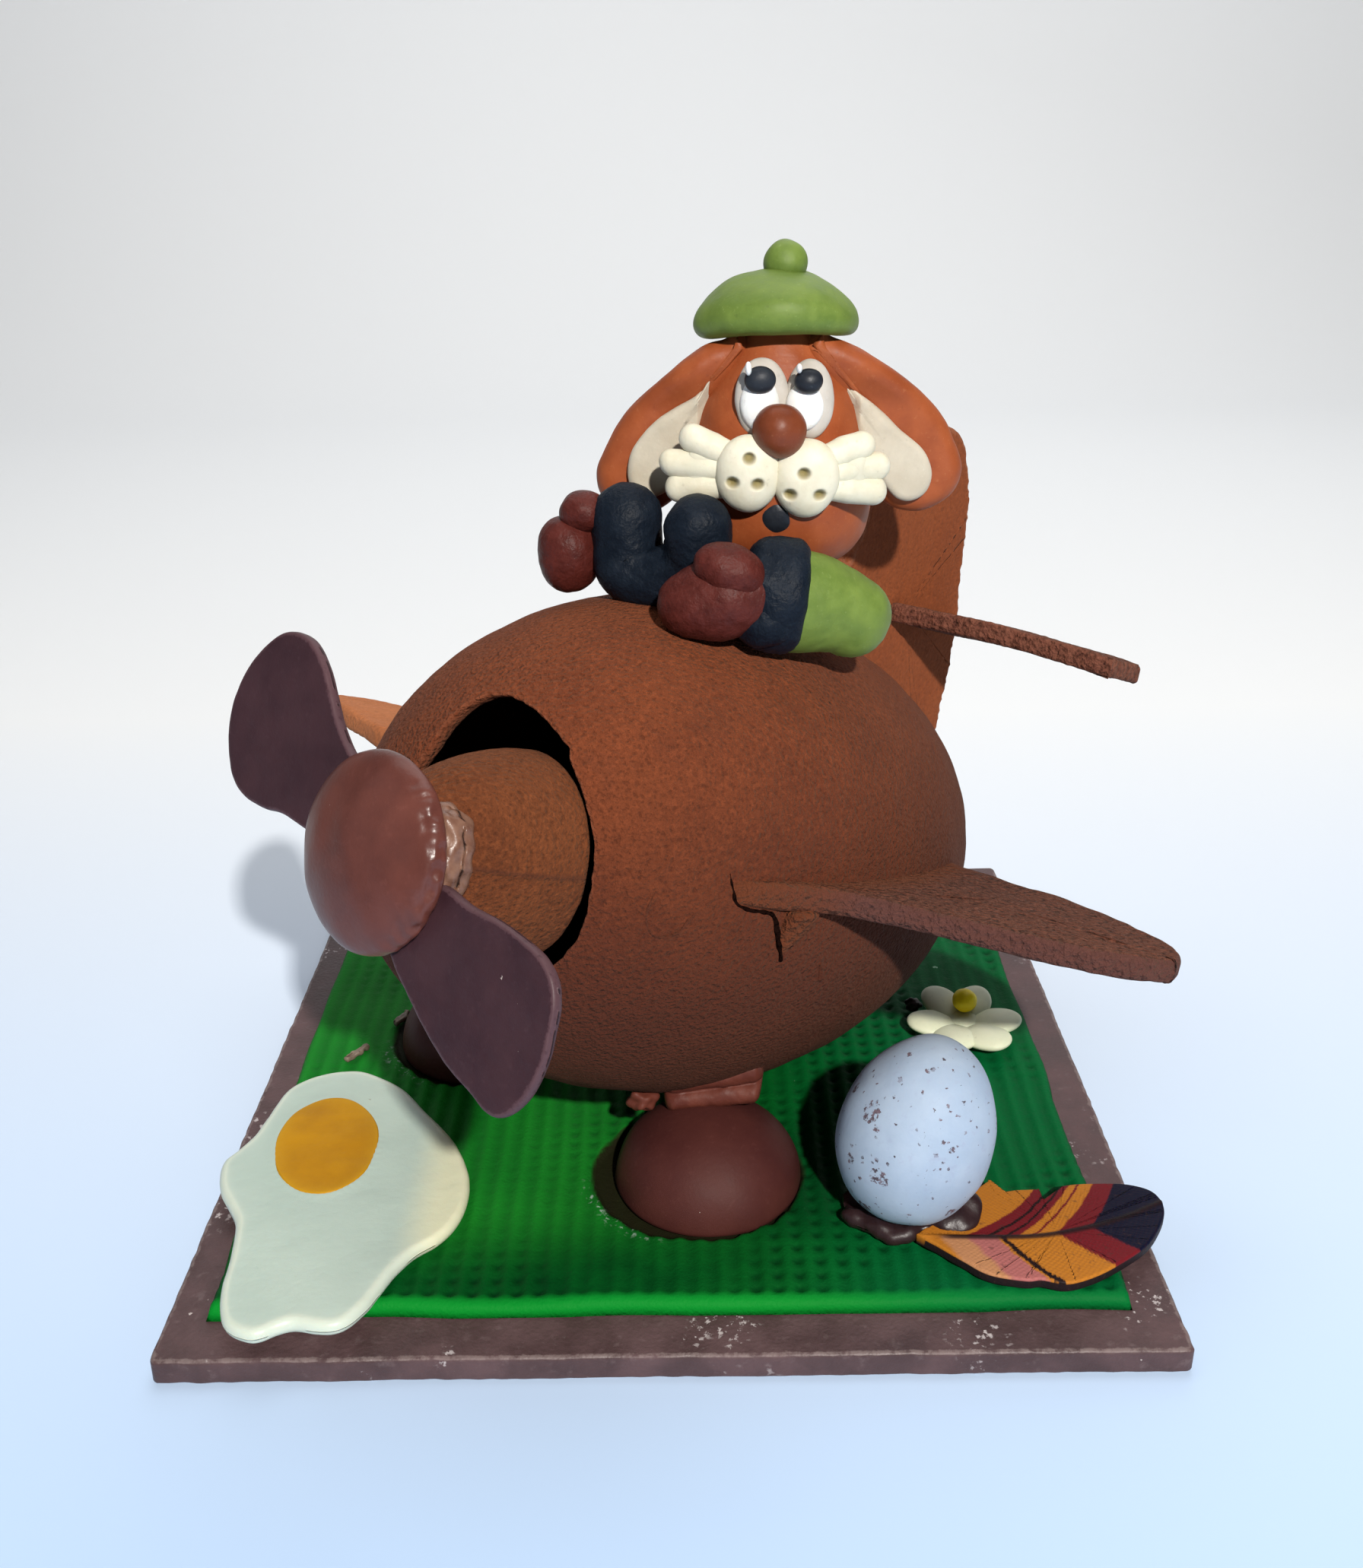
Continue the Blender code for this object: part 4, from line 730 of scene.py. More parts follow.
# ---- Propeller
# Two blades cut from a thin sheet of dark chocolate, and a spinner: the cap of a dark chocolate
# drop, chipped on its right rim. A lump of melted chocolate holds them to the nose.
def satin(name, light, dark, roughness, depth, chips=0.3, size=9.0, gloss=0.34):
    """Tempered dark chocolate: satin, cloudy, with faint scuffs, pale crumbs and a thin pale rim."""
    material, t, shader = finish(name, roughness, specular=gloss)
    clouds = use(t, mottle, First=dark, Second=light, Size=size, Softness=0.25)
    colour = coats(t, clouds["Colour"], (patches(t, 1.6, 0.64, 0.08), 0.10, scaled(light, 1.9, 0.02)),
                   (use(t, worn_rim, Size=1.0, Amount=0.5)["Mask"], 0.40, scaled(light, 2.0, 0.03)),
                   (flecks(t, 3.2, 0.16 * chips, 0.16), 0.75, (0.55, 0.46, 0.42)))
    t.links.new(ranged(t, clouds["Mask"], roughness - 0.07, roughness + 0.10), shader.inputs["Roughness"])
    dressed(t, shader, colour, depth, grainy(t, 0.8, 4.0, 0.6))
    return material


SPIN_R, SPIN_BACK, SPIN_DOME = 18.0, 34.1, 7.4
cap = [(SPIN_BACK, 0.0), (SPIN_BACK, 9.0), (SPIN_BACK, 15.2), (SPIN_BACK + 0.3, 17.1)]
cap += [(SPIN_BACK + 1.7 + (SPIN_DOME - 1.7) * np.sin(q), SPIN_R * np.cos(q))
        for q in np.linspace(-0.08, np.pi / 2, 14)]
rings = turned(cap, NC, NA, NW, NU, rows=72, seg=160)
sideways = (rings - NC) @ NW
radius = np.hypot(sideways, (rings - NC) @ NU)
bite = eased((sideways / (radius + 1e-6) - 0.25) / 0.6) * eased((radius - 15.0) / 2.4)
chip = (bite * (0.25 + 0.45 * waves(rings, 2.6, 41)).clip(0, 0.8))[..., None]
rings = rough(rings - chip * ((rings - NC) / 38 * 0.5 + 0.5 * NW), (0.06, 9.0, 42))
spinner_finish = satin("spinner chocolate", (0.128, 0.037, 0.026), (0.085, 0.026, 0.020), 0.33, 0.10,
                       size=12.0)
piece("spinner_cap", rings, spinner_finish, "dark_choc", "spinner", edge=0.35 * bite)

UPPER = ((-39, 31.6), (-32.5, 31.3), (-27, 27.6), (-23, 22.8), (-20, 19), (-15, 14.6), (-7, 10), (-1.2, 7),
         (-1.0, -2), (-2, -8), (-10, -6.5), (-17, -3.5), (-24.6, -2.3), (-30.7, -1.7), (-36, -2.3),
         (-42, -1.9), (-46.8, 0.2), (-50, 4.2), (-52, 9.8), (-52, 16), (-49.5, 22.7), (-44, 29))
LOWER = ((13.2, -0.2), (18, -1.1), (23.5, -2.2), (30.3, -2.3), (36.2, -3.2), (41.5, -4.7), (45.1, -7.4),
         (46.8, -11.3), (47.1, -15.7), (47.2, -19.6), (45.9, -25.4), (43.4, -29.9), (40.3, -32.4),
         (37, -32.6), (33.2, -31.2), (26.6, -29.2), (20, -25.7), (14.2, -21.8), (8, -17.2), (3, -11),
         (1.0, -5), (1.2, 3), (6, 3.5))
BLADE_BACK, BLADE_FRONT = 31.5, 33.7
blade_finish = satin("blade chocolate", (0.053, 0.021, 0.026), (0.034, 0.013, 0.018), 0.48, 0.12, chips=0.5,
                     size=14.0, gloss=0.24)
for name, outline, node, middle, seed in (("blade_left", UPPER, "blade_upper", (-33, 11), 44),
                                          ("blade_right", LOWER, "blade_lower", (30, -15), 45)):
    flat, edge = plate_rings(curve(outline, 300, closed=True), BLADE_BACK, BLADE_FRONT, 0.55, inner=26, rim=5,
                             middle=middle)
    rings = rough(laid(flat, NC, NW, NU, NA), (0.04, 16.0, seed), (0.012, 3.0, seed + 5))
    piece(name, rings, blade_finish, "dark_choc", node, edge=edge)

GLUE = ((6, 10), (11, 11.6), (14.8, 10), (16.6, 5.5), (16.9, 0.5), (15.4, -3.5), (11, -5), (7, -4))
flat, edge = plate_rings(curve(GLUE, 90, closed=True), 27.2, 33.9, 2.2, inner=8, rim=9)
rings = rough(laid(flat, NC, NW, NU, NA), (0.30, 3.4, 48))
glue_finish = satin("spinner glue", (0.22, 0.115, 0.075), (0.11, 0.045, 0.030), 0.30, 0.2, size=3.0)
piece("spinner_dab", rings, glue_finish, "dark_choc", "spinner_glue", edge=edge * 0.3)

# ---- Wings
# Two slices of chocolate sheet, 5 mm thick, cut by hand with rounded tips, sprayed with the egg and
# melted on to its flanks. Under the near wing's root a fillet of melted chocolate was smeared.
NEAR_WING = ((40, 40), (50, 35.5), (58, 19), (64.7, 12.1), (76.2, 3.7), (90.8, -6.1), (99.3, -12.2),
             (106.2, -19.6), (110.4, -27.2), (110.5, -27.9), (108.9, -33.2), (105.3, -37.8), (98.5, -43),
             (88.9, -46), (75.8, -46.2), (64.1, -43.4), (53.4, -41), (40, -38))
FAR_WING = ((-40, 40), (-52, 37.6), (-65.2, 35.7), (-73.8, 33.6), (-83.5, 31.5), (-95, 28.3), (-100.5, 25.6),
            (-102.3, 21), (-98.9, 12.6), (-92.5, 7.0), (-80, -5), (-66, -17), (-52, -26), (-40, -30))
WING_LOW, WING_TOP, FLAT_CUT = 3.5, 8.5, 2.4
wing_finish, t, shader = velvet("wing velvet", (0.122, 0.041, 0.025), (0.078, 0.026, 0.018),
                                (0.20, 0.09, 0.06), 2.8, grain_shading=0.95, size=1.25,
                                coat=(("cut", 0.85, (0.100, 0.040, 0.033)),
                                      ("root", 1.0, (0.124, 0.034, 0.014)),
                                      ("crack", 1.0, (0.010, 0.004, 0.003))))
for socket, level in (("Specular IOR Level", 0.12), ("Sheen Weight", 0.05)):
    t.links.new(ranged(t, painted(t, "crack"), level, 0.0), shader.inputs[socket])
# Painted sunlight: the far wing has a lighter copy of the wing velvet.
sunlit_wing_finish = velvet("far wing velvet", (0.430, 0.150, 0.058), (0.340, 0.110, 0.040), (0.46, 0.20, 0.09), 0.50,
                    grain_shading=0.25)[0]
for name, outline, node, middle, material, seed in (
        ("near_wing", NEAR_WING, "wing_near", (72, -20), wing_finish, 51),
        ("far_wing", FAR_WING, "wing_far", (-68, 14), sunlit_wing_finish, 53)):
    flat, edge = plate_rings(curve(outline, 380, closed=True), WING_LOW, WING_TOP, 1.5, 1.6, inner=44, rim=8,
                             middle=middle)
    rings = rough(laid(flat, EC, EW, EA, EU), (0.12, 18.0, seed), (0.035, 3.0, seed + 1))
    rings = seated(rings, 1.2)
    away = np.linalg.norm(rings - EC, axis=-1)
    near_egg = eased(1 - (away - reach_of((rings - EC) / away[..., None])) / 9)
    cut_face = (np.abs(flat[..., 2] - (WING_LOW + WING_TOP) / 2) < FLAT_CUT) & (edge > 0.95)
    piece(name, rings, material, "cocoa", node, edge=edge * 0.5, root=near_egg, cut=cut_face)

# The fillet, and the crack that runs down from the wing's front corner across it.
FILLET = ((52.5, 3.2), (57.5, 3.2), (55.5, -1.5), (53.6, -5.6), (51, -6.8), (49, -4))
ROOT_CRACK = ((48.4, 37.6, 9.6), (49.2, 36.7, 6.4), (49.9, 35.4, 3.9), (51.1, 32.2, 2.9), (52.6, 27.3, 2.1),
              (53.3, 25.2, -2.1), (53.6, 22.6, -7.1))
CRACK_RADII = (0.15, 0.32, 0.42, 0.38, 0.55, 0.55, 0.40)
flat, edge = plate_rings(curve(FILLET, 80, closed=True), 17.5, 24.5, 1.6, inner=8, rim=8)
smear = seated(rough(laid(flat, EC, EW, EU, EA), (0.2, 5.0, 55)), 1.0)
fissure = rolled(np.array(ROOT_CRACK) @ np.stack([EW, EA, EU]) + EC, CRACK_RADII, rows=90, seg=12)
fissure = seated(rough(fissure, (0.10, 2.2, 56)), -0.08)
plain, dark = np.zeros(smear.shape[:2]), np.zeros(fissure.shape[:2])
piece("wing_smear", [smear, fissure], wing_finish, "cocoa", "wing_glue", root=[plain + 1, dark],
      crack=[plain, dark + 1])

# ---- Tail fin
# A 5 mm slice of chocolate sheet set on edge along the egg's back, with a chipped rear edge.
FIN = ((-41, 42), (-40, 60), (-41.5, 70), (-43.5, 76), (-45.5, 88), (-48.6, 98), (-54, 103.6), (-64, 106),
       (-73.2, 106.4), (-79, 104), (-84.6, 96.5), (-87.2, 91.5), (-89.2, 84), (-91.2, 76), (-93, 68.5),
       (-95.6, 60), (-96.8, 52), (-97.9, 45), (-97.5, 37), (-98, 31), (-97.6, 24.8), (-94, 16), (-84, 12),
       (-70, 20), (-52, 32))
line = curve(FIN, 420, closed=True)
rear = eased((-line[:, 0] - 70) / 14)
line = nibbled(line, ((0.14, 5, 61), (0.14, 1.8, 62)), 0.0, -0.3, 0.6, rear)
flat, edge = plate_rings(line, -2.5, 2.5, 1.2, 1.2, inner=44, rim=8, middle=(-70, 60))
rings = seated(rough(laid(flat, EC, EA, EU, EW), (0.08, 20.0, 63), (0.03, 2.8, 64)), 1.2)
fin_finish = velvet("fin velvet", (0.250, 0.066, 0.022), (0.200, 0.052, 0.019), (0.30, 0.12, 0.065), 0.35,
                    grain_shading=0.25)[0]
piece("fin", rings, fin_finish, "cocoa", "tail_fin", edge=edge)

# ---- Stabilisers
# Two short pieces of the same sheet, melted to the fin's sides. Their front edges were scraped
# by the knife, the tips are cut square, and both droop a little.
STAB = ((2.8, -62.7), (20, -65.7), (40, -69.3), (52, -71.4), (59.6, -72.7), (59.2, -78), (58.2, -91),
        (56, -93), (42, -94.5), (20, -95.5), (2.8, -95.5))


def straight(points, n):
    """Straight-sided closed outline with n samples along its length and its corners kept."""
    p = np.asarray(points, float)
    q = np.vstack([p, p[:1]])
    s = np.concatenate([[0], np.cumsum(np.linalg.norm(np.diff(q, axis=0), axis=1))])
    want = np.unique(np.concatenate([np.linspace(0, s[-1], n, endpoint=False), s[:-1]]))
    return np.stack([np.interp(want, s, q[:, k]) for k in (0, 1)], 1)


STAB_LOW, STAB_TOP, HUMP, FRONT_LIFT = 56.4, 61.1, 0.75, 0.055
stab_finish = velvet("stabiliser velvet", (0.118, 0.040, 0.025), (0.078, 0.025, 0.018), (0.24, 0.09, 0.055),
                     1.8, grain_shading=0.8, size=1.1)[0]
for name, side, node, seed in (("near_stabiliser", 1, "stabiliser_near", 71),
                               ("far_stabiliser", -1, "stabiliser_far", 73)):
    line = straight([(side * out, ahead) for out, ahead in STAB], 260)
    line = nibbled(line, ((0.12, 8, seed), (0.12, 2.0, seed + 1)), 0.0, -0.25, 0.5)
    flat, edge = plate_rings(line, STAB_LOW, STAB_TOP, 1.0, 1.2, inner=34, rim=8)
    out, ahead = np.abs(flat[..., 0]), flat[..., 1]
    droop = 0.0022 * (out - 22).clip(0) ** 1.85
    hump = HUMP * np.sin(np.minimum(out, 36) / 36 * 1.9)
    flat[..., 2] += hump - droop + FRONT_LIFT * (ahead + 62.7 + 0.176 * out)
    rings = rough(laid(flat, EC, EW, EA, EU), (0.08, 12.0, seed + 2), (0.05, 2.6, seed + 3))
    piece(name, rings, stab_finish, "cocoa", node, edge=edge)

# ---- Wheels and struts
# Each wheel is half a small dark chocolate egg, lying flat side down in its pocket. Between wheel and
# egg two or three rolls of chocolate are stacked, melted together, with a stray lump beside them.
wheel_finish = satin("wheel chocolate", (0.074, 0.020, 0.016), (0.052, 0.014, 0.013), 0.50, 0.10, chips=0.10,
                     size=18.0, gloss=0.16)
bowl = [(0.0, 0.0), (0.0, 12.0), (0.0, 18.6), (0.15, 19.6), (0.9, WHEEL_R)]
bowl += [(0.9 + (WHEEL_H - 0.9) * np.sin(q), WHEEL_R * np.cos(q)) for q in np.linspace(0.1, np.pi / 2, 16)]
for name, centre, node, seed in (("fuselage_shadow", WHEEL_NEAR, "wheel_near", 81),
                                 ("far_wheel", WHEEL_FAR, "wheel_far", 82)):
    rings = rough(turned(bowl, centre, Z, X, Y, rows=64, seg=140), (0.08, 16.0, seed))
    radius = np.hypot(rings[..., 0] - centre[0], rings[..., 1] - centre[1])
    lip = np.exp(-np.abs(rings[..., 2] - centre[2] - 0.6) / 0.5) * (radius > 19)
    piece(name, seated(rings, 0.8), wheel_finish, "dark_choc", node, edge=lip * 0.8)


def stacked(rolls, rows=60, seg=120):
    """Rings of rolls melted into one: across, each roll is an ellipse, and the section's radius in every
    direction is the farthest of them, seen from the middle of the stack. Both ends round off over 2.5 mm."""
    a = np.array([r[0] for r in rolls], float)
    b = np.array([r[1] for r in rolls], float)
    s = np.linspace(0, 1, rows)[:, None]
    length = np.linalg.norm(b - a, axis=1).mean()
    end = np.minimum(s * length, (1 - s) * length)
    shrink = np.sqrt(1 - (1 - np.clip(end / 2.5, 0, 1)) ** 2) * 0.96 + 0.04
    q = np.linspace(0, 2 * np.pi, seg, endpoint=False)[None, :]
    centre = a.mean(0) + s * (b - a).mean(0)
    radius = np.zeros((rows, seg))
    for k, (_, _, tall, deep) in enumerate(rolls):
        c = a[k] + s * (b[k] - a[k]) - centre
        cy, cz = c[:, 1:2], c[:, 2:3]
        A = (np.cos(q) / deep) ** 2 + (np.sin(q) / tall) ** 2
        B = -2 * (cy * np.cos(q) / deep ** 2 + cz * np.sin(q) / tall ** 2)
        C = (cy / deep) ** 2 + (cz / tall) ** 2 - 1
        radius = np.maximum(radius, (-B + np.sqrt((B * B - 4 * A * C).clip(0))) / (2 * A))
    radius = radius * shrink
    return np.dstack([np.broadcast_to(centre[:, :1], radius.shape), centre[:, 1:2] + radius * np.cos(q),
                      centre[:, 2:] + radius * np.sin(q)])


strut_finish = satin("strut chocolate", (0.128, 0.033, 0.020), (0.088, 0.022, 0.015), 0.48, 0.18, chips=0.25,
                     size=6.0, gloss=0.17)
# A roll is its two ends, its half height and its half depth.
near_rolls = [((-1.6, -42.6, 24.7), (20.4, -42.6, 27.3), 3.3, 5.2),
              ((-1.9, -41.5, 29.2), (20.4, -41.5, 32.6), 3.8, 5.8)]
far_rolls = [((-56.0, 2.0, 27.3), (-38.0, 2.0, 26.0), 3.8, 6.0),
             ((-56.0, 2.6, 33.4), (-38.0, 2.6, 32.0), 4.0, 6.4),
             ((-56.0, 3.4, 38.6), (-38.0, 3.4, 37.0), 3.6, 6.0)]
for name, rolls, node, seed in (("near_strut", near_rolls, "strut_near", 84),
                                ("far_strut", far_rolls, "strut_far", 86)):
    rings = rough(stacked(rolls), (0.14, 8.0, seed), (0.03, 2.4, seed + 1))
    piece(name, seated(rings, 1.0), strut_finish, "dark_choc", node)


def ball(centre, semi, e=(X, Y, Z), rows=40, seg=64, taper=0.0):
    """Rings of an ellipsoid with half-axes along e, from pole to pole of the third; taper narrows its far
    end."""
    q = np.linspace(0.02, np.pi - 0.02, rows)[:, None, None]
    p = np.linspace(0, 2 * np.pi, seg, endpoint=False)[None, :, None]
    z = -np.cos(q)
    wide = np.sin(q) * (1 - taper * z)
    round_it = semi[0] * np.cos(p) * e[0] + semi[1] * np.sin(p) * e[1]
    return np.asarray(centre, float) + semi[2] * z * e[2] + wide * round_it


rings = rough(ball((-6.0, -45.5, 25.3), (3.3, 2.6, 2.7), rows=24, seg=36), (0.35, 3.0, 88))
piece("strut_lump", seated(rings, 0.6), strut_finish, "dark_choc", "strut_nugget")

# ---- Pilot's head
# A pear-shaped ball of brown marzipan, rolled by hand, with soft cheeks. Ground almonds show in it as
# pale flecks and shallow pores.
def marzipan(name, light, dark, fleck, roughness=0.50, size=7.0, fleck_share=0.25, depth=0.12, hollow=None,
             skin=1.0, gloss=0.28):
    """Coloured marzipan: cloudy, a little see-through, with almond flecks, dark pores and a soft uneven skin.
    Where the mesh has pits they take the given colour as painted shade."""
    material, t, shader = finish(name, roughness, specular=gloss, flesh=0.10)
    clouds = use(t, mottle, First=dark, Second=light, Size=size, Softness=0.25)
    pores = ranged(t, patches(t, 1.5, 0.33, 0.05), 1.0, 0.0)
    colour = coats(t, clouds["Colour"], (patches(t, 0.9, 0.66, 0.06), fleck_share, fleck),
                   (pores, 0.25, scaled(dark, 0.5)), *([("pit", 1.0, hollow)] if hollow else []))
    t.links.new(ranged(t, clouds["Mask"], roughness - 0.06, roughness + 0.10), shader.inputs["Roughness"])
    dressed(t, shader, colour, depth, grainy(t, skin, 3.6, 0.45))
    return material


brown = marzipan("brown marzipan", (0.350, 0.084, 0.024), (0.265, 0.058, 0.017), (0.50, 0.20, 0.09))
HEAD_X, HEAD_Y, SUNK = 24.6, 8.0, 0.6
PEAR = ((128.8, 0), (129.3, 5), (130.7, 10.4), (133.4, 15.7), (137.5, 19.1), (142.4, 20.6), (148, 20.7),
        (156, 19.6), (165, 17.3), (172, 13.9), (177, 10.8), (182, 7.0), (185, 3.4), (186, 0))
head = turned(PEAR, (HEAD_X, HEAD_Y, 0), Z, X, Y, 1.0, 0.96, rows=110, seg=150)
head = rough(head, (0.25, 20.0, 101), (0.03, 4.5, 102))
piece("rabbit_head", seated(head, SUNK), brown, "marz_brown", "head")

# ---- Ears
# Two flat marzipan petals pressed on to the head's sides, leaning out and back, each with a
# thinner cream petal laid on its front and smoothed down at the rims.
EAR_R = ((33, 181), (35.1, 179.6), (41.6, 176.9), (48.3, 172.3), (55.1, 167.0), (60.7, 161.0), (63.5, 155.6),
         (64.8, 150.3), (63.0, 145.3), (57.8, 142.0), (53.0, 141.7), (48.2, 143.6), (44, 149), (40, 158),
         (34, 168), (29, 177))
EAR_L = ((16, 181), (13.2, 179.2), (9.1, 177.9), (2.6, 172.8), (-4.1, 167.1), (-9.6, 160.7), (-13.2, 154),
         (-14.2, 150), (-13, 145.6), (-8.5, 142.2), (-3.6, 141.9), (1, 143.8), (5, 149), (8, 158), (13, 168),
         (19, 177))
LINING_R = ((37.5, 171), (40.2, 168.9), (45.0, 165), (50.4, 160.4), (55.2, 156.4), (57.6, 151.8),
            (57.3, 147.7), (55.1, 145.4), (51.8, 145), (48.6, 147), (45, 152), (41, 160), (37, 168))
LINING_L = ((13.5, 174), (11.6, 172.5), (7.1, 167.5), (-0.9, 163), (-5.6, 157.9), (-7.2, 153.2), (-6.8, 149),
            (-4, 146.5), (0.5, 147.5), (4.5, 152), (7.5, 159), (11, 167))
cream = marzipan("cream marzipan", (0.76, 0.72, 0.58), (0.66, 0.61, 0.46), (0.80, 0.78, 0.62), size=6.0,
                 hollow=(0.24, 0.19, 0.07))
lining_cream = marzipan("lining marzipan", (0.61, 0.55, 0.44), (0.50, 0.44, 0.34), (0.72, 0.67, 0.56),
                        size=9.0)


def leaning(rings):
    """Ear points pushed back by 0.12 of their distance out from the head's side, and drawn forward over 10 mm
    below the beret, where the ears fold over the head."""
    back = 0.12 * (np.abs(rings[..., 0] - HEAD_X) - 17).clip(0) - 3.4 * eased((rings[..., 2] - 164) / 11)
    return rings + back[..., None] * Y


def tucked(rings):
    """Lining points pushed back by 0.9 of how far they lie inside 17 mm of the head's middle, under the ears'
    rims."""
    return rings + (0.9 * (17.0 - np.abs(rings[..., 0] - HEAD_X)).clip(0))[..., None] * Y


for name, outline, node, low, high, reach, material, slot, seed in (
        ("left_ear", EAR_L, "ear_left", 2.6, 10.4, 3.6, brown, "marz_brown", 111),
        ("right_ear", EAR_R, "ear_right", 2.6, 10.4, 3.6, brown, "marz_brown", 113),
        ("left_lining", LINING_L, "ear_lining_left", 0.4, 3.1, 1.7, lining_cream, "marz_cream", 115),
        ("right_lining", LINING_R, "ear_lining_right", 0.4, 3.1, 1.7, lining_cream, "marz_cream", 117)):
    flat, edge = plate_rings(curve(outline, 200, closed=True), low, high, reach, inner=24, rim=10)
    rings = leaning(laid(flat, (0, 0, 0), X, Z, Y))
    rings = tucked(rings) if material is lining_cream else rings
    piece(name, rough(rings, (0.16, 16.0, seed), (0.02, 4.0, seed + 1)), material, slot, node)

# ---- Face
# Small marzipan shapes pressed on: a ball for the nose, two pitted pads for the muzzle, a dark
# drop for the mouth, fans of rolled whiskers, and eyes built up from rim, white, pupil and spark.
FACE_TILT = np.radians(14)
FACE_U = np.array([0, np.sin(FACE_TILT), np.cos(FACE_TILT)])
FACE_N = np.array([0, -np.cos(FACE_TILT), np.sin(FACE_TILT)])
nose_brown = marzipan("nose marzipan", (0.185, 0.042, 0.014), (0.130, 0.029, 0.010), (0.32, 0.13, 0.07),
                      roughness=0.38)
black = marzipan("black marzipan", (0.018, 0.022, 0.030), (0.010, 0.012, 0.018), (0.07, 0.08, 0.10),
                 roughness=0.42)
rings = rough(ball((23.9, -13.0, 163.3), (5.4, 5.4, 5.4), rows=44, seg=64), (0.05, 6.0, 121))
piece("nose_ball", rings, nose_brown, "marz_brown", "muzzle_ball")
rings = rough(ball((23.8, -10.2, 145.4), (3.9, 2.6, 4.0), rows=30, seg=48), (0.05, 4.0, 126))
piece("mouth_drop", rings, black, "marz_black", "mouth")
PIT_W, PIT_H, PIT_DEPTH = 1.15, 1.0, 1.6
for side, centre, semi, pits, seed in (
        ("left", (17.7, -12.3, 154.6), (6.6, 4.4, 7.9), ((17.7, 158.4), (14.4, 153.6), (19.4, 153.3)), 122),
        ("right", (29.4, -12.3, 153.6), (6.8, 4.4, 8.0), ((28.7, 155.3), (26.0, 151.0), (32.0, 150.8)), 124)):
    rings = rough(ball(centre, semi, rows=110, seg=160), (0.08, 9.0, seed))
    off = [((rings[..., 0] - px) / PIT_W) ** 2 + ((rings[..., 2] - pz) / PIT_H) ** 2 for px, pz in pits]
    hole = sum(np.exp(-gap ** 2) for gap in off) * (rings[..., 1] < centre[1])
    rings[..., 1] += PIT_DEPTH * hole
    # The pits' darker colour is painted shade.
    piece(side + "_pad", rings, cream, "marz_cream", "muzzle_" + side, pit=hole ** 0.7)

eye_grey = marzipan("eye rim marzipan", (0.57, 0.53, 0.48), (0.48, 0.44, 0.39), (0.68, 0.65, 0.61), size=5.0,
                    depth=0.05)
white = marzipan("white marzipan", (0.86, 0.86, 0.84), (0.78, 0.78, 0.77), (0.92, 0.92, 0.92), roughness=0.40)
for side, first_seed, shapes in (
        ("left", 130, (((20.7, -6.6, 168.6), (5.5, 2.9, 8.1)), ((20.1, -8.7, 168.0), (3.9, 2.4, 5.4)),
                       ((20.1, -9.9, 172.8), (3.2, 2.0, 2.7)), ((17.7, -11.0, 175.2), (0.65, 1.1, 1.35)))),
        ("right", 135, (((30.4, -6.4, 168.3), (4.9, 2.9, 7.9)), ((29.2, -8.6, 167.3), (3.8, 2.3, 4.8)),
                        ((29.8, -9.7, 172.4), (2.9, 2.0, 2.5)), ((27.8, -10.9, 175.1), (0.62, 1.1, 0.95))))):
    for k, (part, node, material, slot, rows, seg, height) in enumerate((
            ("_eye_rim", "eye_rim_", eye_grey, "marz_grey", 44, 64, 0.03),
            ("_eyeball", "eye_white_", white, "marz_white", 44, 64, 0.03),
            ("_pupil", "pupil_", black, "marz_black", 44, 64, 0.03),
            ("_spark", "eye_spark_", white, "marz_white", 20, 28, 0.02))):
        rings = ball(*shapes[k], (X, FACE_N, FACE_U), rows=rows, seg=seg)
        piece(side + part, rough(rings, (height, 4.0, first_seed + k)), material, slot, node + side)

for side, root, tips, seed in (
        ("left", (14.5, -11.5, 155.2), ((6.6, -8.5, 161.2), (2.4, -7.5, 156.1), (3.9, -8.0, 151.0)), 140),
        ("right", (33.0, -11.5, 154.4), ((40.9, -8.5, 159.3), (44.3, -7.5, 154.8), (43.6, -8.0, 149.9)),
         145)):
    fan = []
    for k, tip in enumerate(tips):
        start = np.array(root) + np.array([0, 0.4, (1 - k) * 2.9])
        radii = (2.4, 3.0 + 0.2 * (k == 2), 2.9 + 0.2 * (k == 2))
        whisker = rolled([start, (start + np.array(tip)) / 2, tip], radii, 0.9, rows=40, seg=56)
        fan.append(rough(whisker, (0.06, 6.0, seed + k)))
    middle = np.array(root) + 0.42 * (np.mean(tips, axis=0) - root) + 0.5 * Y
    fan.append(rough(ball(middle, (5.4, 2.3, 4.9), rows=40, seg=64), (0.06, 6.0, seed + 3)))
    piece(side + "_whiskers", fan, cream, "marz_cream", "whiskers_" + side)

# ---- Beret
# A green marzipan disc draped over the head's top, pinched thin at its rim, with a ball on it.
green = marzipan("green marzipan", (0.160, 0.232, 0.042), (0.110, 0.172, 0.030), (0.34, 0.42, 0.16), size=5.0,
                 fleck_share=0.18)
BERET_AT, BERET_R, DROOP = (24.2, 7.0, 182.0), 17.0, 2.9
BRIM = ((-1.4, 0.0), (-1.4, 10.0), (-1.2, 13.2), (-0.3, 15.6), (1.4, 16.9), (3.4, 17.0), (5.4, 15.9),
        (7.6, 13.0), (9.3, 9.0), (10.1, 4.6), (10.3, 0.0))
beret = turned(BRIM, BERET_AT, Z, X, Y, 1.0, 0.86, rows=80, seg=140)
beret[..., 2] -= DROOP * ((beret[..., 0] - BERET_AT[0]) / BERET_R) ** 2
piece("beret_disc", rough(beret, (0.18, 12.0, 151), (0.02, 3.0, 152)), green, "marz_green", "beret")
rings = rough(ball((26.0, 8.0, 193.4), (4.5, 4.5, 4.5), rows=44, seg=64), (0.07, 5.0, 153))
piece("beret_ball", rings, green, "marz_green", "pompom")

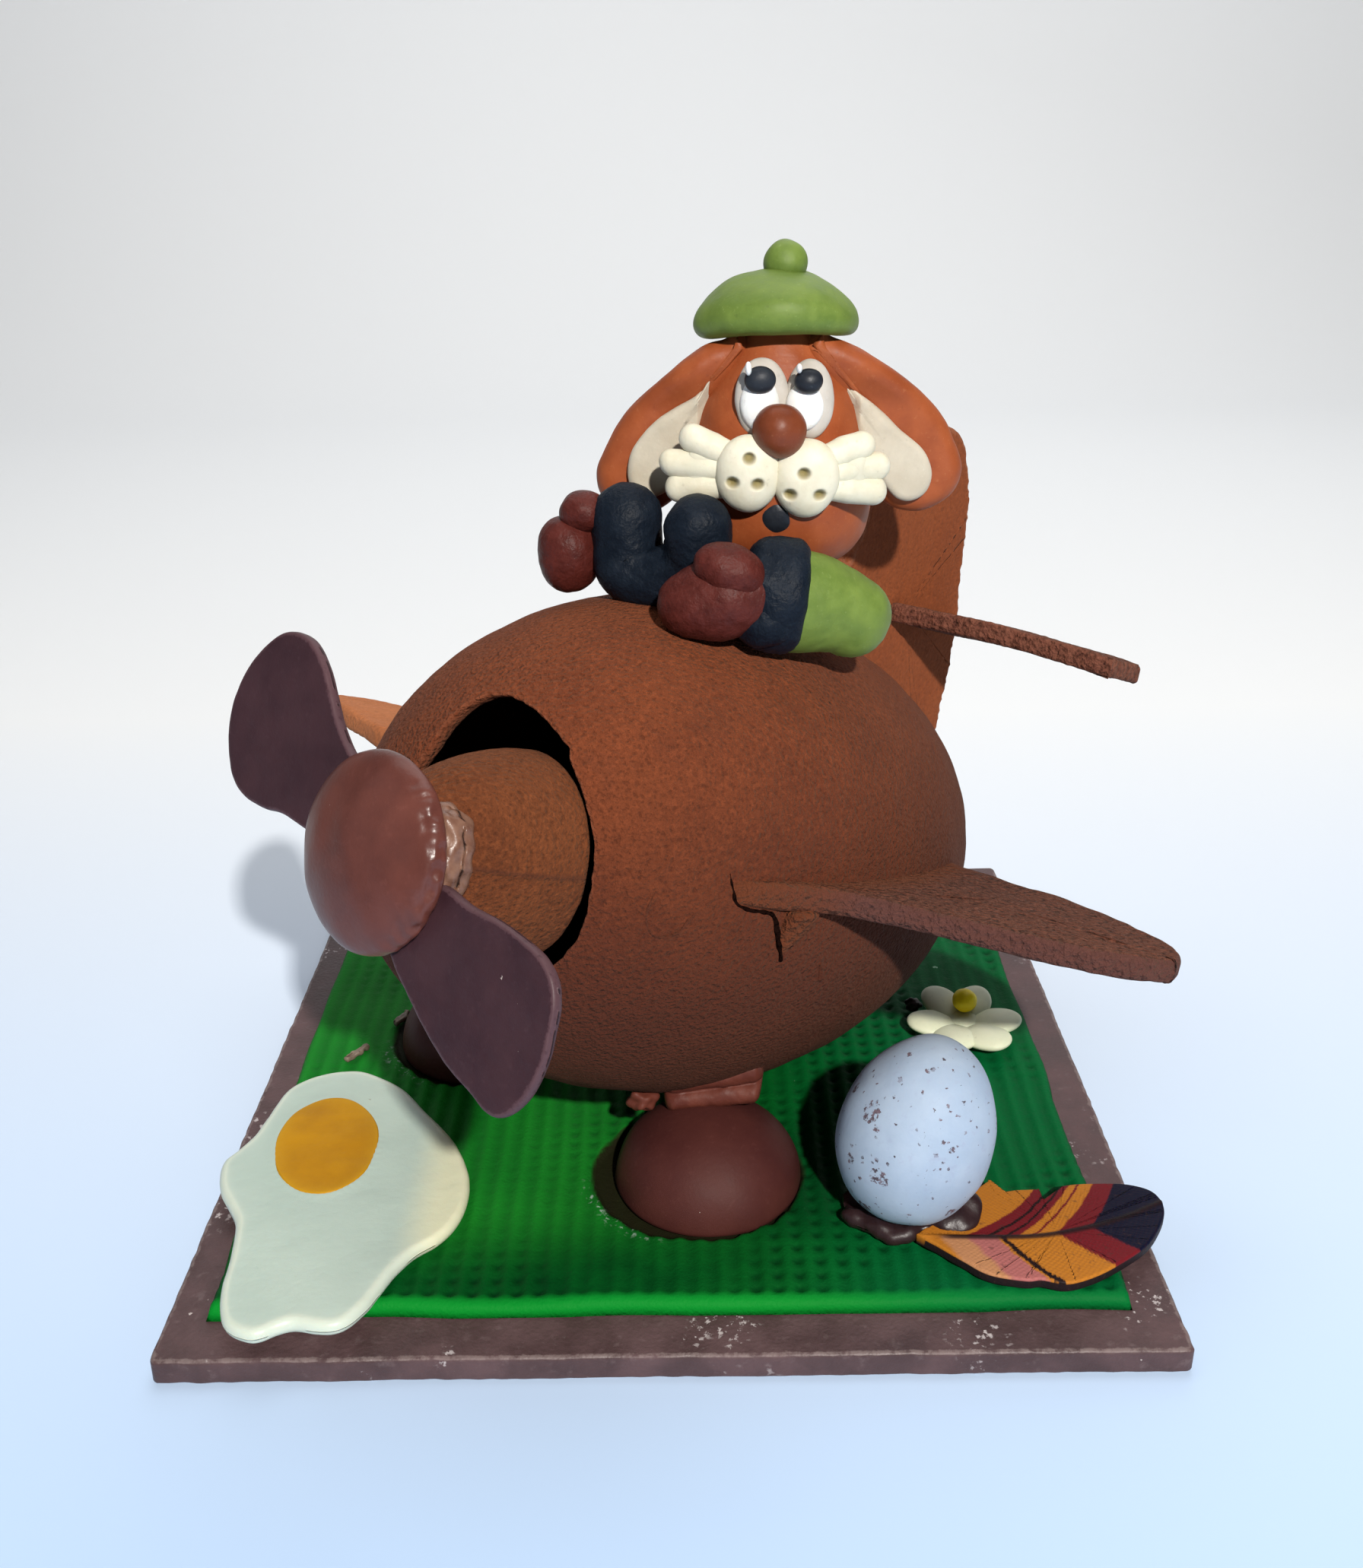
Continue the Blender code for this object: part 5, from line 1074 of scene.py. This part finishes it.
# ---- Arms and body
# Thick rolls of marzipan: a green sleeve, wrinkled navy cuffs and dark red mittens that lie on the
# egg's top, and a green stub between egg and head.
red = marzipan("mitten marzipan", (0.097, 0.018, 0.013), (0.060, 0.011, 0.008), (0.17, 0.050, 0.038),
               roughness=0.46,
               size=3.0, fleck_share=0.2, depth=0.40, skin=0.75, gloss=0.18)
navy_blue = marzipan("navy marzipan", (0.008, 0.013, 0.022), (0.004, 0.007, 0.013), (0.035, 0.045, 0.060),
                     roughness=0.48, size=4.0, fleck_share=0.12, depth=0.50, skin=0.8, gloss=0.12)


def tipped(degrees):
    """Axes whose first is X turned up by those degrees, with Y second."""
    a = np.radians(degrees)
    return np.array([np.cos(a), 0, np.sin(a)]), Y, np.array([-np.sin(a), 0, np.cos(a)])


hand = rough(ball((11.6, -27.0, 132.8), (12.9, 8.6, 8.3), tipped(10), rows=70, seg=110), (0.16, 9.0, 161),
             (0.035, 2.4, 162))
thumb = rough(ball((13.4, -30.2, 139.6), (7.4, 5.2, 5.2), tipped(-24), rows=50, seg=80), (0.10, 7.0, 163),
              (0.03, 2.4, 164))
piece("right_mitten", [seated(hand, SUNK), seated(thumb, SUNK)], red, "maroon", "mitten_right")
CUFF_AT, WRINKLE_PITCH = np.array([22.6, -23.5, 132.4]), 2.3
lean, _, tall = tipped(-8)
band_line = [(-6.4, 0.0), (-6.4, 7.0), (-4.8, 10.4), (-2, 11.6), (2, 11.9), (4.8, 11.0), (6.2, 8.0),
             (6.2, 0.0)]
cuff = turned(band_line, CUFF_AT, lean, Y, tall, 0.86, 1.0, rows=80, seg=120)
along = (cuff - CUFF_AT) @ lean
wrinkles = 0.06 * np.sin(2 * np.pi * along / WRINKLE_PITCH + 2.0 * waves(cuff, 9.0, 167))
above_middle = np.sign(cuff[..., 2:] - 132)
cuff = rough(cuff, (0.18, 8.0, 165), (0.03, 2.2, 166)) + wrinkles[..., None] * tall * above_middle
roll = rough(ball((20.8, -27.5, 129.2), (7.4, 6.6, 6.4), rows=40, seg=64), (0.12, 6.0, 160), (0.03, 2.2, 157))
piece("right_cuff", [seated(cuff, SUNK), seated(roll, SUNK)], navy_blue, "navy", "cuff_right")
arm_line = ((26, -21.5, 130.8), (31, -20.5, 129.4), (36, -19.5, 127.7), (38.4, -19.0, 126.5))
sleeve = rough(rolled(arm_line, (11.0, 10.4, 9.4, 8.8), 0.9, rows=50, seg=110), (0.16, 12.0, 168),
               (0.02, 3.0, 169))
piece("right_sleeve", seated(sleeve, SUNK), green, "marz_green", "sleeve_right")
bend_line = ((-7.4, -6, 144.2), (-7.4, -6.5, 139), (-6.8, -8, 134), (-1.5, -11, 132.8), (4.6, -14, 135.5),
             (7.2, -16, 140), (7.3, -16.5, 144.6))
cuff = rolled(bend_line, (7.4, 7.5, 7.4, 6.6, 6.8, 6.9, 6.9), 0.95, rows=100, seg=90)
cuff = rough(cuff, (0.15, 9.0, 170), (0.035, 2.2, 171))
piece("left_cuff", seated(cuff, SUNK), navy_blue, "navy", "cuff_left")
hand = rough(ball((-20.0, -4.0, 136.2), (6.9, 7.0, 8.4), rows=50, seg=80), (0.14, 8.0, 172),
             (0.035, 2.4, 173))
finger = rough(ball((-16.5, -4.5, 145.4), (5.0, 5.0, 4.5), rows=40, seg=60), (0.10, 6.0, 174),
               (0.03, 2.4, 175))
piece("left_mitten", [seated(hand, SUNK), finger], red, "maroon", "mitten_left")
rings = rough(ball((25.0, 5.0, 121.0), (11.5, 11.5, 10.5), rows=40, seg=64), (0.12, 10.0, 176))
piece("body_stub", seated(rings, SUNK), green, "marz_green", "body")

# ---- Fried egg plaque
# A drop of white chocolate spread on the mat like a fried egg, with a rounded rim where it set, and
# a yolk of yellow chocolate let into it. Its face is bare.
EGG_WHITE = ((-78.5, -14.3), (-73.6, -14.9), (-67.6, -18.5), (-62.4, -23.2), (-57.0, -30.4), (-51.7, -37.4),
             (-48.1, -42.8), (-45.2, -49.3), (-43.6, -55.5), (-43.4, -62.7), (-44.9, -69.0), (-47.7, -73.7),
             (-51.6, -77.4), (-54.3, -81.4), (-56.1, -85.5), (-57.6, -89.5), (-58.8, -92.4), (-61.3, -96.2),
             (-64.1, -97.9), (-67.9, -97.8), (-72.0, -96.9), (-74.9, -97.9), (-77.3, -99.4), (-79.7, -99.9),
             (-83.1, -98.7), (-85.7, -96.3), (-87.5, -91.9), (-88.6, -85.9), (-89.0, -79.2), (-90.1, -71.0),
             (-91.2, -67.0), (-93.6, -62.9), (-96.5, -58.2), (-98.2, -53.3), (-98.7, -48.2), (-96.7, -44.4),
             (-94.3, -39.2), (-93.1, -32.4), (-91.2, -22.5), (-87.5, -17.8), (-83.2, -15.3))
WHITE_LOW, WHITE_TOP, WHITE_LIMIT, YOLK_LOW, YOLK_TOP = 9.3, 12.7, 13.1, 11.2, 13.1
YOLK_AT, YOLK_LONG, YOLK_WIDE, YOLK_DIR = (-76.9, -43.2), 17.3, 11.5, (-0.177, 0.984)
plaque_finish, t, shader = finish("white chocolate", 0.36, specular=0.28, flesh=0.1)
pale = use(t, mottle, First=(0.42, 0.52, 0.46), Second=(0.49, 0.59, 0.52), Size=30.0, Softness=0.25)["Colour"]
# Painted sunlight: a creamier yellow over the plaque's right side, away from its front.
colour = coats(t, pale, ("edge", 0.55, (0.70, 0.74, 0.62)), ("warm", 0.8, (0.76, 0.74, 0.50)),
               (flecks(t, 5.0, 0.10, 0.12), 0.6, (0.25, 0.20, 0.15)))
dressed(t, shader, colour, 0.30, grainy(t, 1.6, 9.0, 0.7))
flat, edge = plate_rings(curve(EGG_WHITE, 420, closed=True), WHITE_LOW, WHITE_TOP, 1.5, inner=46, rim=10,
                         middle=(-72, -56))
q = -np.linspace(0, 2 * np.pi, 220, endpoint=False)[:, None]
long_way, wide_way = np.array(YOLK_DIR), np.array((-YOLK_DIR[1], YOLK_DIR[0]))
yolk_line = YOLK_AT + YOLK_LONG * np.cos(q) * long_way + YOLK_WIDE * np.sin(q) * wide_way
off = np.min(np.linalg.norm(flat[:, :, None, :2] - yolk_line[None, None, ::4], axis=-1), axis=2)
flat[..., 2] += 0.20 * np.exp(-(off / 1.3) ** 2) * (flat[..., 2] > 12)
rings = rough(laid(flat, (0, 0, 0), X, Y, Z), (0.08, 22.0, 181), (0.012, 4.0, 182))
rings[..., 2] = np.minimum(rings[..., 2], WHITE_LIMIT)
piece("egg_white", rings, plaque_finish, "white_choc", "plaque", edge=edge ** 3,
      warm=eased((flat[..., 0] + 58) / 10) * eased((flat[..., 1] + 84) / 12))
yolk_finish, t, shader = finish("yolk chocolate", 0.46, specular=0.12, flesh=0.1)
amber = use(t, mottle, First=(0.41, 0.180, 0.002), Second=(0.52, 0.245, 0.003), Size=12.0,
            Softness=0.25)["Colour"]
colour = coats(t, amber, ("edge", 0.3, (0.60, 0.34, 0.02)))
dressed(t, shader, colour, 0.25, grainy(t, 1.2, 6.0, 0.6))
flat, edge = plate_rings(yolk_line[::-1], YOLK_LOW, YOLK_TOP, 0.45, 0.7, inner=24, rim=8, swell=0.25)
rings = rough(laid(flat, (0, 0, 0), X, Y, Z), (0.06, 9.0, 183))
piece("egg_yolk", rings, yolk_finish, "yolk", "yolk", edge=edge)

# ---- Speckled egg
# A sugar-coated chocolate egg, 41 mm long, pale blue with burst spots of purple brown, standing on
# its wide end in a smear of dark chocolate with a flat button of chocolate pushed against it.
EGG_TILT, EGG_AT, EGG_SEMI, ON_MAT = np.radians(16), (51.2, -62.0, 29.4), (16.0, 16.0, 20.6), 9.1
STAND = np.array([np.sin(EGG_TILT), 0.10, np.cos(EGG_TILT)])
STAND /= np.linalg.norm(STAND)
E1 = np.cross(Y, STAND)
E1 /= np.linalg.norm(E1)
E2 = np.cross(STAND, E1)
shell_finish, t, shader = finish("sugar shell", 0.55, specular=0.14, flesh=0.06)
sky = use(t, mottle, First=(0.33, 0.415, 0.54), Second=(0.40, 0.485, 0.60), Size=12.0,
          Softness=0.25)["Colour"]
spotted = use(t, mottle, First=(0.045, 0.020, 0.024), Second=(0.15, 0.085, 0.10), Size=0.9,
              Softness=0.1)["Colour"]
broken = patches(t, 1.1, 0.50, 0.05)
colour = coats(t, sky, (patches(t, 2.0, 0.66, 0.10), 0.30, (0.30, 0.30, 0.44)))
for spacing, chance, width, whole in ((9.5, 0.65, 0.30, 0.0), (4.6, 0.55, 0.30, 0.1), (2.3, 0.50, 0.27, 0.4),
                                      (1.5, 0.40, 0.28, 0.6)):
    burst = maths(t, "MULTIPLY", flecks(t, spacing, chance, width), ranged(t, broken, whole, 1.0))
    colour = coats(t, colour, (burst, 0.9, spotted))
dressed(t, shader, colour, 0.10, grainy(t, 1.2, 6.0, 0.5))
egg = rough(ball(EGG_AT, EGG_SEMI, (E1, E2, STAND), rows=90, seg=140, taper=0.10), (0.06, 9.0, 185))
egg[..., 2] = egg[..., 2].clip(ON_MAT)
piece("sugar_egg", egg, shell_finish, "sky", "speckled_egg")
DAB = ((36, -66), (40, -71), (46, -74), (53, -73), (60, -70), (62, -64), (58, -56), (48, -52), (39, -56))
flat, edge = plate_rings(curve(DAB, 120, closed=True), 9.0, 12.4, 1.7, inner=14, rim=9)
rings = rough(laid(flat, (0, 0, 0), X, Y, Z), (0.35, 6.0, 186), (0.10, 2.0, 187))
dab_finish = satin("dab chocolate", (0.030, 0.013, 0.014), (0.016, 0.008, 0.010), 0.36, 0.15, chips=0.1)
piece("egg_dab", rings, dab_finish, "dark_choc", "egg_glue", edge=edge * 0.2)
push = np.array([0.15, -0.45, 0.88])
push /= np.linalg.norm(push)
DROP = ((0, 0.0), (0, 3.0), (0, 5.2), (0.8, 6.0), (1.9, 5.7), (2.6, 4.2), (2.9, 2.0), (2.9, 0.0))
rings = rough(turned(DROP, (58.3, -67.4, 12.6), push, X, np.cross(push, X), rows=40, seg=80),
              (0.12, 4.0, 188))
piece("chocolate_drop", rings, dab_finish, "dark_choc", "button")

# ---- Feather
# A thin plate of chocolate cast in a feather mould: a raised quill runs from its point to its tip, with
# fine barbs slanting off it. It is painted in bands from orange through red to a navy tip.
POINT = ((50.1, -73.8), (55.2, -68.8), (61.8, -62.5), (68.3, -56.9), (69.1, -61.2), (73.2, -60.3),
         (78.3, -60.1), (78.5, -63.3))
VANE = ((83.3, -59.2), (87.6, -58.6), (95.9, -58.7), (101.0, -60.5), (102.9, -63.5), (102.7, -67.6),
        (100.3, -72.4), (96.1, -77.8), (89.3, -82.9), (83.3, -86.4), (77.6, -88.2), (72.9, -87.0),
        (69.7, -87.2), (62.9, -85.4), (58.4, -81.5), (53.8, -77.0))
QUILL = ((48.5, -74.3), (62.0, -75.0), (74.0, -75.0), (84.0, -73.0), (94.0, -69.5), (103.5, -64.5))
QUILL_H, QUILL_W, BARB_H, BARB_PITCH, QUILL_LONG = 0.28, 0.55, 0.045, 1.05, 56
quill = curve(QUILL, 200)[::2]
outline = straight(np.concatenate([POINT, curve(VANE, 140)]), 420)
flat, edge = plate_rings(outline, 9.3, 11.9, 0.5, 0.6, inner=64, rim=6, middle=(79, -73.5))
gaps = flat[:, :, None, :2] - quill
nearest = np.argmin(np.linalg.norm(gaps, axis=-1), axis=2)
along = np.linspace(0, 1, 200)[::2][nearest]
tangent = np.gradient(quill, axis=0)
tangent = (tangent / np.linalg.norm(tangent, axis=1)[:, None])[nearest]
offset = np.take_along_axis(gaps, nearest[..., None, None], axis=2)[:, :, 0]
across = tangent[..., 0] * offset[..., 1] - tangent[..., 1] * offset[..., 0]
face = flat[..., 2] > 11
slope = 2 * np.pi * (along * QUILL_LONG - np.abs(across)) / BARB_PITCH
ridges = BARB_H * np.sin(slope) * eased((np.abs(across) - 0.5) / 0.6) * (1 - edge)
flat[..., 2] += face * (QUILL_H * np.exp(-(across / QUILL_W) ** 2) + ridges)


def bands(tree, value, runs):
    """Colours in runs of (start, end, colour) along the value, with a short blend from each run to the
    next."""
    ramp = add(tree, "ShaderNodeValToRGB", [("Fac", value)])
    stops = ramp.color_ramp.elements
    stops.remove(stops[1])
    for start, end, colour in runs:
        for position in (start, end):
            stop = stops[0] if position == 0 else stops.new(position)
            stop.color = (*colour, 1)
    return ramp.outputs["Color"]


ORANGE, PEACH, PINK = (0.46, 0.165, 0.018), (0.48, 0.22, 0.10), (0.40, 0.13, 0.12)
CRIMSON, NAVY, SPLIT = (0.150, 0.009, 0.014), (0.002, 0.004, 0.018), (0.010, 0.005, 0.006)
feather_finish, t, shader = finish("painted feather", 0.50, specular=0.10)
brush = noise(t, 420.0, 4.0)["Fac"]
far_half = ranged(t, painted(t, "across"), 0.0, 1.0, -0.15, 0.15)
aside = maths(t, "ABSOLUTE", painted(t, "across"), 0.0)
slant = maths(t, "MULTIPLY", aside, ranged(t, far_half, 0.010, 0.026))
where = maths(t, "ADD", maths(t, "SUBTRACT", painted(t, "along"), slant), ranged(t, brush, -0.014, 0.014))
upper = bands(t, where, ((0.0, 0.19, ORANGE), (0.20, 0.262, CRIMSON), (0.268, 0.282, SPLIT),
                         (0.288, 0.325, CRIMSON),
                         (0.330, 0.340, SPLIT), (0.345, 0.375, CRIMSON), (0.385, 0.425, ORANGE),
                         (0.430, 0.440, CRIMSON), (0.445, 0.52, ORANGE), (0.53, 0.655, CRIMSON),
                         (0.665, 1.0, NAVY)))
lower = bands(t, where, ((0.0, 0.10, ORANGE), (0.12, 0.20, PEACH), (0.22, 0.31, PINK), (0.315, 0.32, ORANGE),
                         (0.325, 0.340, SPLIT), (0.345, 0.53, ORANGE), (0.54, 0.66, CRIMSON),
                         (0.67, 1.0, NAVY)))
# Painted shade: the grooves between the barbs are darker.
colour = coats(t, lower, (far_half, 1.0, upper), ("stem", 0.95, (0.012, 0.007, 0.009)),
               ("wall", 1.0, (0.016, 0.010, 0.012)), ("barb", 0.18, (0.06, 0.015, 0.012)),
               (patches(t, 1.6, 0.66, 0.05), 0.5, (0.06, 0.028, 0.022)))
dressed(t, shader, colour, 0.16, grainy(t, 0.8, 3.0, 0.4))
piece("feather_plate", laid(flat, (0, 0, 0), X, Y, Z), feather_finish, "feather", "feather", along=along,
      across=across, stem=face * np.exp(-(across / 0.75) ** 4) * eased((along - 0.06) / 0.1),
      barb=face * (0.5 + 0.5 * np.sin(slope + np.pi)) ** 2, wall=flat[..., 2] < 11.35)

# ---- Daisy
# A sugar-paste flower: six fat cream petals pressed round a yellow ball, stuck down with a dot
# of dark chocolate that has squeezed out on its left.
petal_finish = marzipan("petal paste", (0.74, 0.75, 0.56), (0.62, 0.65, 0.47), (0.82, 0.82, 0.64), size=9.0,
                        fleck_share=0.12, depth=0.06)
yellow = marzipan("yellow paste", (0.86, 0.68, 0.006), (0.74, 0.55, 0.005), (0.92, 0.78, 0.06), size=2.5)
DAISY_AT = np.array([73.5, 5.0, 11.6])
petals = []
for k, (degrees, size, rise) in enumerate(((62, 0.95, 2.4), (124, 1.0, 2.2), (192, 1.08, 0.6),
                                           (247, 1.12, 0.2),
                                           (300, 1.15, 0.0), (350, 1.05, 0.8))):
    q = np.radians(degrees)
    outward = np.array([np.cos(q), np.sin(q), 0.0])
    e3 = outward + Z * 0.16
    e3 /= np.linalg.norm(e3)
    e1 = np.cross(Z, e3)
    e1 /= np.linalg.norm(e1)
    rings = ball(DAISY_AT + outward * 7.3 * size + Z * rise * 0.6, (5.0 * size, 2.3, 6.5 * size),
                 (e1, np.cross(e3, e1), e3), rows=44, seg=60)
    inboard = ((rings - DAISY_AT) @ outward) / 15
    rings[..., 2] = (rings[..., 2] - 0.5 * eased(1 - inboard) * (rings[..., 2] > 12)).clip(ON_MAT)
    petals.append(rough(rings, (0.05, 7.0, 191 + k)))
petals.append(ball(DAISY_AT, (4, 4, 1.8), rows=20, seg=40))
piece("daisy_flower", petals, petal_finish, "petal", "daisy_petals")
rings = rough(ball(DAISY_AT + np.array([0.4, 2.0, 4.6]), (3.1, 3.1, 2.9), rows=36, seg=48), (0.05, 2.4, 199))
piece("daisy_ball", rings, yellow, "yellow", "daisy_centre")
rings = rough(ball((62.2, 13.6, 10.9), (2.1, 2.2, 1.6), rows=24, seg=32), (0.2, 2.0, 200))
piece("daisy_dab", rings, dab_finish, "dark_choc", "daisy_glue")

# ---- Shavings
# Two short splinters of the slab's chocolate that fell on the mat and stayed.
shaving_finish = satin("splinter chocolate", (0.26, 0.20, 0.15), (0.14, 0.10, 0.075), 0.5, 0.2, size=2.0)
SPLINTER = ((-0.5, -0.9), (0, -1.3), (0.5, -0.3), (0.5, 0.7), (0, 0.9), (-0.5, 0.3))
for name, centre, degrees, length, node, seed in (
        ("splinter_long", (-78.2, -3.4, 9.95), 50, 7.4, "shaving_a", 205),
        ("splinter_short", (-69.8, 12.0, 9.95), 62, 6.0, "shaving_b", 206)):
    q = np.radians(degrees)
    flat, edge = plate_rings(straight([(a * length, b) for a, b in SPLINTER], 60), -0.6, 0.6, 0.3, inner=6,
                             rim=5)
    rings = laid(flat, centre, np.array([np.cos(q), np.sin(q), 0]), np.array([-np.sin(q), np.cos(q), 0]), Z)
    piece(name, rough(rings, (0.12, 2.0, seed)), shaving_finish, "slab_choc", node, edge=edge * 0.5)
